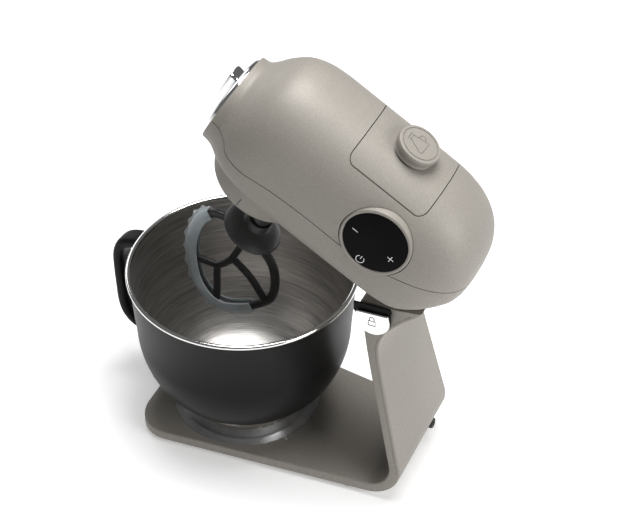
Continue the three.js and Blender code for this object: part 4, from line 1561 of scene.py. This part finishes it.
# --------------------------------------------------------------------------- the stand
@dataclass
class Stand:
    """The stand: one bent plate with a neck for the hinge, its feet and its markings."""

    plate: float = 11.2
    front: float = -84.0
    corner: float = 35.0
    half_at_bowl: float = 80.6
    bed_taper: float = 0.112
    column_half: float = 63.2
    column_taper: float = 0.09
    foot_y: float = 193.45
    lean: float = 0.2355
    bend: float = 30.0
    edge: float = 1.8
    neck: list[tuple[Flat, Flat]] = field(default_factory=lambda: [
        ((149.0, 166.0), (161.2, 168.0)), ((147.0, 177.0), (163.0, 177.0)),
        ((145.2, 186.0), (168.0, 188.0)), ((143.2, 196.0), (176.5, 198.0)),
        ((141.6, 204.0), (184.2, 205.8)), ((140.6, 209.5), (190.5, 211.4)),
        ((140.0, 213.0), (196.0, 216.6)), ((141.0, 215.5), (198.6, 219.6)),
        ((143.0, 217.0), (199.0, 220.5)),
    ])

    def column_y(self, z: float) -> float:
        """Returns the column plate's middle at a height."""
        return self.foot_y - self.lean * z

    def bed_half(self, y: float) -> float:
        """Returns the bed's half-width."""
        return self.half_at_bowl - self.bed_taper * y

    def column_width(self, z: float) -> float:
        """Returns the column's half-width."""
        return self.column_half - self.column_taper * z

    def stations(self) -> list[tuple[float, float, float, float]]:
        """Lists the bent plate's stations as (y, z, turn, half-width)."""
        turn = math.pi / 2 + math.atan(self.lean)
        start = self.column_y(-self.plate / 2) - self.bend * math.tan(turn / 2)
        middle = -self.plate / 2
        rows = []
        for i in range(15):
            along = self.corner * (1 - math.cos(math.pi / 2 * i / 14))
            back = self.corner - along
            inset = self.corner - math.sqrt(max(self.corner**2 - back**2, 0.0))
            y = self.front + along
            rows.append((y, middle, 0.0, self.bed_half(y) - inset))
        rows.append((60.0, middle, 0.0, self.bed_half(60.0)))
        for i in range(25):
            share = i / 24
            angle = turn * share
            y = start + self.bend * math.sin(angle)
            z = middle + self.bend * (1 - math.cos(angle))
            half = self.bed_half(start) * (1 - share) + self.column_width(34.0) * share
            rows.append((y, z, angle, half))
        rows.append((self.column_y(150.0), 150.0, turn, self.column_width(150.0)))
        return rows

    def whole_plate(self, name: str) -> bpy.types.Object:
        """Lofts the bed, the column and the neck that carries the hinge as one body.

        Args:
            name: The new object's name.

        Returns:
            The closed body with rounded edges.
        """
        half, edge = self.plate / 2, self.edge
        rings = []
        for y, z, angle, wide in self.stations():
            outline = rounded_box(-wide, wide, -half, half, edge, 4)
            rings.append([(x, y - off * math.sin(angle), z + off * math.cos(angle))
                          for x, off in outline])
        for row in smooth_through([[*a, *b] for a, b in self.neck], 3):
            front, rear = Vector((0.0, row[0], row[1])), Vector((0.0, row[2], row[3]))
            span = (rear - front).length / 2
            wide = self.column_width((row[1] + row[3]) / 2)
            run = (front - rear).normalized()
            middle = (front + rear) / 2
            outline = rounded_box(-wide, wide, -span, span, edge, 4)
            rings.append([tuple(middle + run * off + Vector((x, 0.0, 0.0)))
                          for x, off in outline])
        body = loft(name, rings)
        top = prism("above_neck", [(100.0, 217.0), (178.0, 217.0), (199.0, 220.5),
                                   (230.0, 225.0), (230.0, 260.0), (100.0, 260.0)],
                    -90.0, 90.0, Axis.X)
        return combine(body, top, Cut.REMOVE)

    def build_body(self) -> None:
        """Builds the painted stand with its hinge slot and its recesses."""
        body = self.whole_plate("stand_body")
        hinge_y, hinge_z = HINGE_AT
        slot = [(120.0, 213.0), (147.6, 213.0), (152.6, 206.4),
                *arc(hinge_y, hinge_z, 9.0, 180.0, 360.0, 24), (176.0, 217.0), (176.0, 240.0),
                (120.0, 240.0)]
        seat = spin("seat_recess", [(0.0, -3.0), (75.0, -3.0), (75.0, 0.0), (75.5, 0.6),
                                    (75.5, 2.0), (0.0, 2.0)], steps=160)
        tools = [
            prism("hinge_slot", slot, -23.0, 23.0, Axis.X), seat,
            spin("pin_bore", [(0.0, -30.0), (5.8, -30.0), (5.8, 30.0), (0.0, 30.0)],
                 (0.0, hinge_y, hinge_z), Axis.X, 48),
            spin("lever_bore", [(0.0, 20.0), (4.2, 20.0), (4.2, 70.0), (0.0, 70.0)],
                 (0.0, *LEVER_SHAFT_AT), Axis.X, 48),
            spin("gland_bore", [(0.0, 178.0), (6.0, 178.0), (6.0, 212.0), (0.0, 212.0)],
                 (-32.0, 0.0, 7.0), Axis.Y, 48),
            self.under_plate(5.0, -self.plate - 1.0, -4.0),
            self.rear_room(3.0 + 0.3, 0.3),
        ]
        for tool in tools:
            combine(body, tool, Cut.REMOVE)
        hand_over(tidy_shell(body, 1e-3), LAYOUT.stand_place(), "taupe", "stand", "taupe_paint",
                  ["stand"], 38.0)

    def under_plate(self, inset: float, start: float, end: float) -> bpy.types.Object:
        """Draws the hollow under the bed."""
        front, rear = self.front + inset, 150.0 - inset
        half = self.bed_half(front + 32.0) - inset
        outline = [
            *arc(-half + 30.0, front + 30.0, 30.0, 180.0, 270.0, 12),
            *arc(half - 30.0, front + 30.0, 30.0, 270.0, 360.0, 12),
            (self.bed_half(rear) - inset, rear), (-self.bed_half(rear) + inset, rear),
        ]
        return prism("under_plate", outline, start, end)

    def rear_line(self, clearance: float) -> list[Flat]:
        """Lists the rear face's side view, from the column's foot to the neck's tip."""
        return [
            (self.column_y(24.0) + 5.6, 24.0 - clearance), (self.column_y(150.0) + 5.6, 150.0),
            (161.0, 168.0), (163.0, 177.0), (168.5, 188.5), (178.5, 200.5), (188.0, 209.0),
            (191.4, 212.0 + clearance),
        ]

    def rear_room(self, depth: float, clearance: float) -> bpy.types.Object:
        """Draws the skin-deep room for the rear cover."""
        rear = self.rear_line(clearance)
        outer = [(y + 6.0, z) for y, z in rear]
        inner = [(y - depth, z + (depth * 0.55 if z > 190.0 else 0.0)) for y, z in rear]
        return prism("rear_room", [*outer, *reversed(inner)], -90.0, 90.0, Axis.X)

    def build_cover(self) -> None:
        """Builds the plain cover on the column's rear."""
        body = self.whole_plate("rear_skin")
        combine(body, self.rear_room(3.0, 0.0), Cut.KEEP)
        hand_over(tidy_shell(body, 1e-3), LAYOUT.stand_place(), "taupe", "stand", "taupe_paint",
                  ["rear_cover"], 38.0)

    def build_feet(self) -> None:
        """Builds the four rubber feet."""
        for corner in ("front_right", "front_left", "rear_right", "rear_left"):
            low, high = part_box(f"foot_{corner}")
            centre = (low + high) / 2
            foot = spin(f"rubber_foot_{corner}", [
                (0.0, 0.6), (3.0, 0.6), (3.6, 0.0), (7.8, 0.0), (8.6, 0.3), (9.0, 1.0),
                (9.6, 4.7), (0.0, 4.7),
            ], steps=48)
            place = Matrix.Translation((centre.x, centre.y, low.z)) @ Matrix.Scale(MM, 4)
            hand_over(foot, place, "rubber", "stand", "rubber", [f"foot_{corner}"])

    def build_marks(self) -> None:
        """Draws the lock and unlock signs beside the bowl's seat."""
        signs = [*self.padlock(56.0, 47.0, True), *self.padlock(41.0, 63.0, False)]
        signs.append(self.mark([(50.4, 53.6), (46.4, 57.6)]))
        hand_over(join("seat_signs", signs), LAYOUT.stand_place(), "print", "stand", "taupe_paint")

    def mark(self, line: Sequence[Flat], half: float = 0.35) -> bpy.types.Object:
        """Draws one printed line on the bed."""
        path = [(x, y, 0.05) for x, y in line]
        return ribbon("bed_line", path, Axis.Z.value, 0.15, 0.03, half)

    def padlock(self, x: float, y: float, shut: bool) -> list[bpy.types.Object]:
        """Draws a small padlock.

        Args:
            x: Its middle.
            y: Its middle.
            shut: Whether its bow is closed.

        Returns:
            The padlock's lines.
        """
        body = [(x - 1.8, y - 2.4), (x + 1.8, y - 2.4), (x + 1.8, y + 0.2), (x - 1.8, y + 0.2),
                (x - 1.8, y - 2.4)]
        shift = 0.0 if shut else 2.2
        bow = [(x - 1.2 + shift, y + 0.2), *arc(x + shift, y + 1.4, 1.2, 180.0, 0.0, 8)]
        if shut:
            bow.append((x + 1.2, y + 0.2))
        return [self.mark(body, 0.28), self.mark(bow, 0.28)]

    def build(self) -> None:
        """Builds every piece of the stand."""
        self.build_body()
        self.build_cover()
        self.build_feet()
        self.build_marks()


@dataclass
class LockLever:
    """The bright lever on the neck's side that frees the head."""

    y: float = 155.5
    z: float = 203.5
    radius: float = 16.5
    face: float = 52.0
    plate: float = 3.0
    inner: float = 46.9

    def block_outline(self, front: float) -> list[Flat]:
        """Lists the side view of the dark body as (y, z) points."""
        return [
            *arc(self.y, self.z, self.radius, 0.0, -180.0, 36),
            (self.y - self.radius - front, self.z + 4.0),
            (self.y - self.radius - front, self.z + 14.0),
            (self.y + self.radius - 0.5, self.z + 16.0),
        ]

    def plate_outline(self) -> list[Flat]:
        """Lists the bright plate's D shape as (y, z) points."""
        return [
            *arc(self.y, self.z, self.radius, 8.0, -188.0, 40),
            (self.y - self.radius + 1.0, self.z + 7.0),
            (self.y + self.radius - 1.6, self.z + 9.5),
        ]

    def build(self) -> None:
        """Builds the bright plate, the dark body and the embossed padlock, whose lines are painted
        dark as shade round the relief.
        """
        plate = prism("lever_plate", self.plate_outline(), self.face - self.plate, self.face,
                      Axis.X)
        round_edges(plate, 1.1, 4, 30.0)
        body = prism("lever_block", self.block_outline(3.0), self.inner,
                     self.face - self.plate - 0.3, Axis.X)
        round_edges(body, 0.6, 3, 30.0)
        shaft = spin("lever_shaft", [(0.0, 24.0), (3.9, 24.0), (3.9, 47.6), (0.0, 47.6)],
                     (0.0, *LEVER_SHAFT_AT), Axis.X, 48)
        join("lever_block", [body, shaft])
        # The padlock's lines carry painted shade that stands for the shade round its embossed
        # relief.
        x, y, z = self.face + 0.1, self.y, self.z - 1.0
        lines = [
            [(y - 3.4, z - 4.6), (y + 3.4, z - 4.6), (y + 3.4, z + 0.6), (y - 3.4, z + 0.6),
             (y - 3.4, z - 4.6)],
            [(y - 2.2, z + 0.6), *arc(y, z + 3.2, 2.2, 180.0, 0.0, 10), (y + 2.2, z + 0.6)],
        ]
        strips = [ribbon("lock_line", [(x, a, b) for a, b in line], Axis.X.value, 0.3, 0.12, 0.4)
                  for line in lines]
        sign = join("lever_sign", strips)
        for piece, finish, slot, nodes in (
            (plate, "chrome", "chrome", ["lock_lever"]),
            (body, "black_coat", "black_coat", ["lock_lever_body"]),
            (sign, "relief_shade", "chrome", []),
        ):
            hand_over(piece, LAYOUT.stand_place(), finish, "lever", slot, nodes)


# --------------------------------------------------------------------------- the rest
@dataclass
class PlainParts:
    """The CAD parts whose shapes stay as they are and only take a finish."""

    finishes: dict[str, list[str]] = field(default_factory=lambda: {
        "taupe": ["hinge_bracket"],
        "cast": ["bowl_seat", "gearbox_plate", "ring_gear", "countershaft_pulley"],
        "steel": ["hinge_pin", "latch_pawl", "front_hub_drive", "motor_shaft", "motor_rotor",
                  "motor_pulley", "main_bearing", "countershaft", "countershaft_pinion",
                  "main_bevel_gear", "main_shaft", "planet_pinion", "beater_shaft", "drive_pin"],
        "brass": ["hinge_bush_left", "hinge_bush_right"],
        "copper": ["motor_stator", "motor_commutator"],
        "nylon": ["main_gear"],
        "board": ["control_board"],
        "rubber": ["cord_gland", "drive_belt", "carbon_brush_left", "carbon_brush_right"],
        "plastic": ["base_plate", "front_hub_socket", "motor_fan", "blender_drive"],
    })

    def build(self) -> None:
        """Dresses the parts."""
        for finish, names in self.finishes.items():
            for name in names:
                node = frame["nodes"][name]
                node.data.materials.clear()
                node.data.materials.append(MATERIALS[finish])
            LOG.info("%s: %s", finish, ", ".join(names))


# --------------------------------------------------------------------------- the studio
@dataclass
class Studio:
    """The pale floor, the soft lights and the camera."""

    eye: Point = (1056.6, 561.86, 1218.2)
    back: Point = (0.68159, 0.31781, 0.65911)
    lens: float = 97.275

    def build_floor(self) -> None:
        """Builds a plain pale floor."""
        deselect()
        bpy.ops.mesh.primitive_plane_add(size=12.0, location=(0.0, 0.0, 0.0))
        floor = bpy.context.object
        floor.name = "floor"
        material, nodes, shader = start_material("pale_floor")
        grain = add_group(nodes, "grain", Grain_Scale=40.0, Patch_Scale=2.0)
        colour = shade_between(nodes, grain.outputs["Patches"], (0.93, 0.93, 0.93),
                               (0.95, 0.95, 0.95))
        nodes.link(colour, shader.inputs["Base Color"])
        shader.inputs["Roughness"].default_value = 0.8
        shader.inputs["Emission Color"].default_value = (1.0, 1.0, 1.0, 1.0)
        shader.inputs["Emission Strength"].default_value = 0.3
        floor.data.materials.append(material)

    def add_light(self, name: str, place: Point, size: float, power: float, aim: Point) -> None:
        """Adds a soft square light.

        Args:
            name: The light's name.
            place: Where it hangs.
            size: Its side.
            power: Its power in watts.
            aim: The point that it faces.
        """
        data = bpy.data.lights.new(name, "AREA")
        data.shape = "SQUARE"
        data.size = size
        data.energy = power
        light = bpy.data.objects.new(name, data)
        bpy.context.scene.collection.objects.link(light)
        light.location = place
        light.rotation_euler = (Vector(aim) - Vector(place)).to_track_quat("-Z", "Y").to_euler()

    def build_lights(self) -> None:
        """Hangs the soft lights and sets a pale world."""
        middle = (0.0, 0.0, 0.2)
        self.add_light("top_softbox", (-0.15, 0.1, 1.6), 0.9, 28.0, middle)
        self.add_light("rear_softbox", (0.35, 1.7, 0.9), 0.9, 18.0, middle)
        self.add_light("front_softbox", (-0.9, -1.5, 0.9), 1.0, 6.0, middle)
        world = bpy.data.worlds.new("pale_room")
        world.use_nodes = True
        background = world.node_tree.nodes["Background"]
        background.inputs["Color"].default_value = (1.0, 1.0, 1.0, 1.0)
        background.inputs["Strength"].default_value = 0.13
        bpy.context.scene.world = world
        bpy.context.scene.view_settings.view_transform = "Standard"

    def build_camera(self) -> None:
        """Sets up the camera."""
        data = bpy.data.cameras.new("camera")
        data.lens = self.lens
        data.sensor_width = 36.0
        data.clip_end = 20.0
        camera = bpy.data.objects.new("camera", data)
        bpy.context.scene.collection.objects.link(camera)
        camera.location = LAYOUT.stand_place() @ Vector(self.eye)
        camera.rotation_euler = Vector(self.back).to_track_quat("Z", "Y").to_euler()
        bpy.context.scene.camera = camera

    def build(self) -> None:
        """Builds the studio."""
        self.build_floor()
        self.build_lights()
        self.build_camera()


def main() -> None:
    """Builds the mixer and its studio, and logs each part's name and each piece's face count."""
    Studio().build()
    for part in (Stand(), LockLever(), Bowl(), HeadShells(), TouchDial(), FrontHub(),
                 PlanetaryHub(), Beater(), PlainParts()):
        LOG.info("building %s", type(part).__name__)
        part.build()


if __name__ == "__main__":
    main()
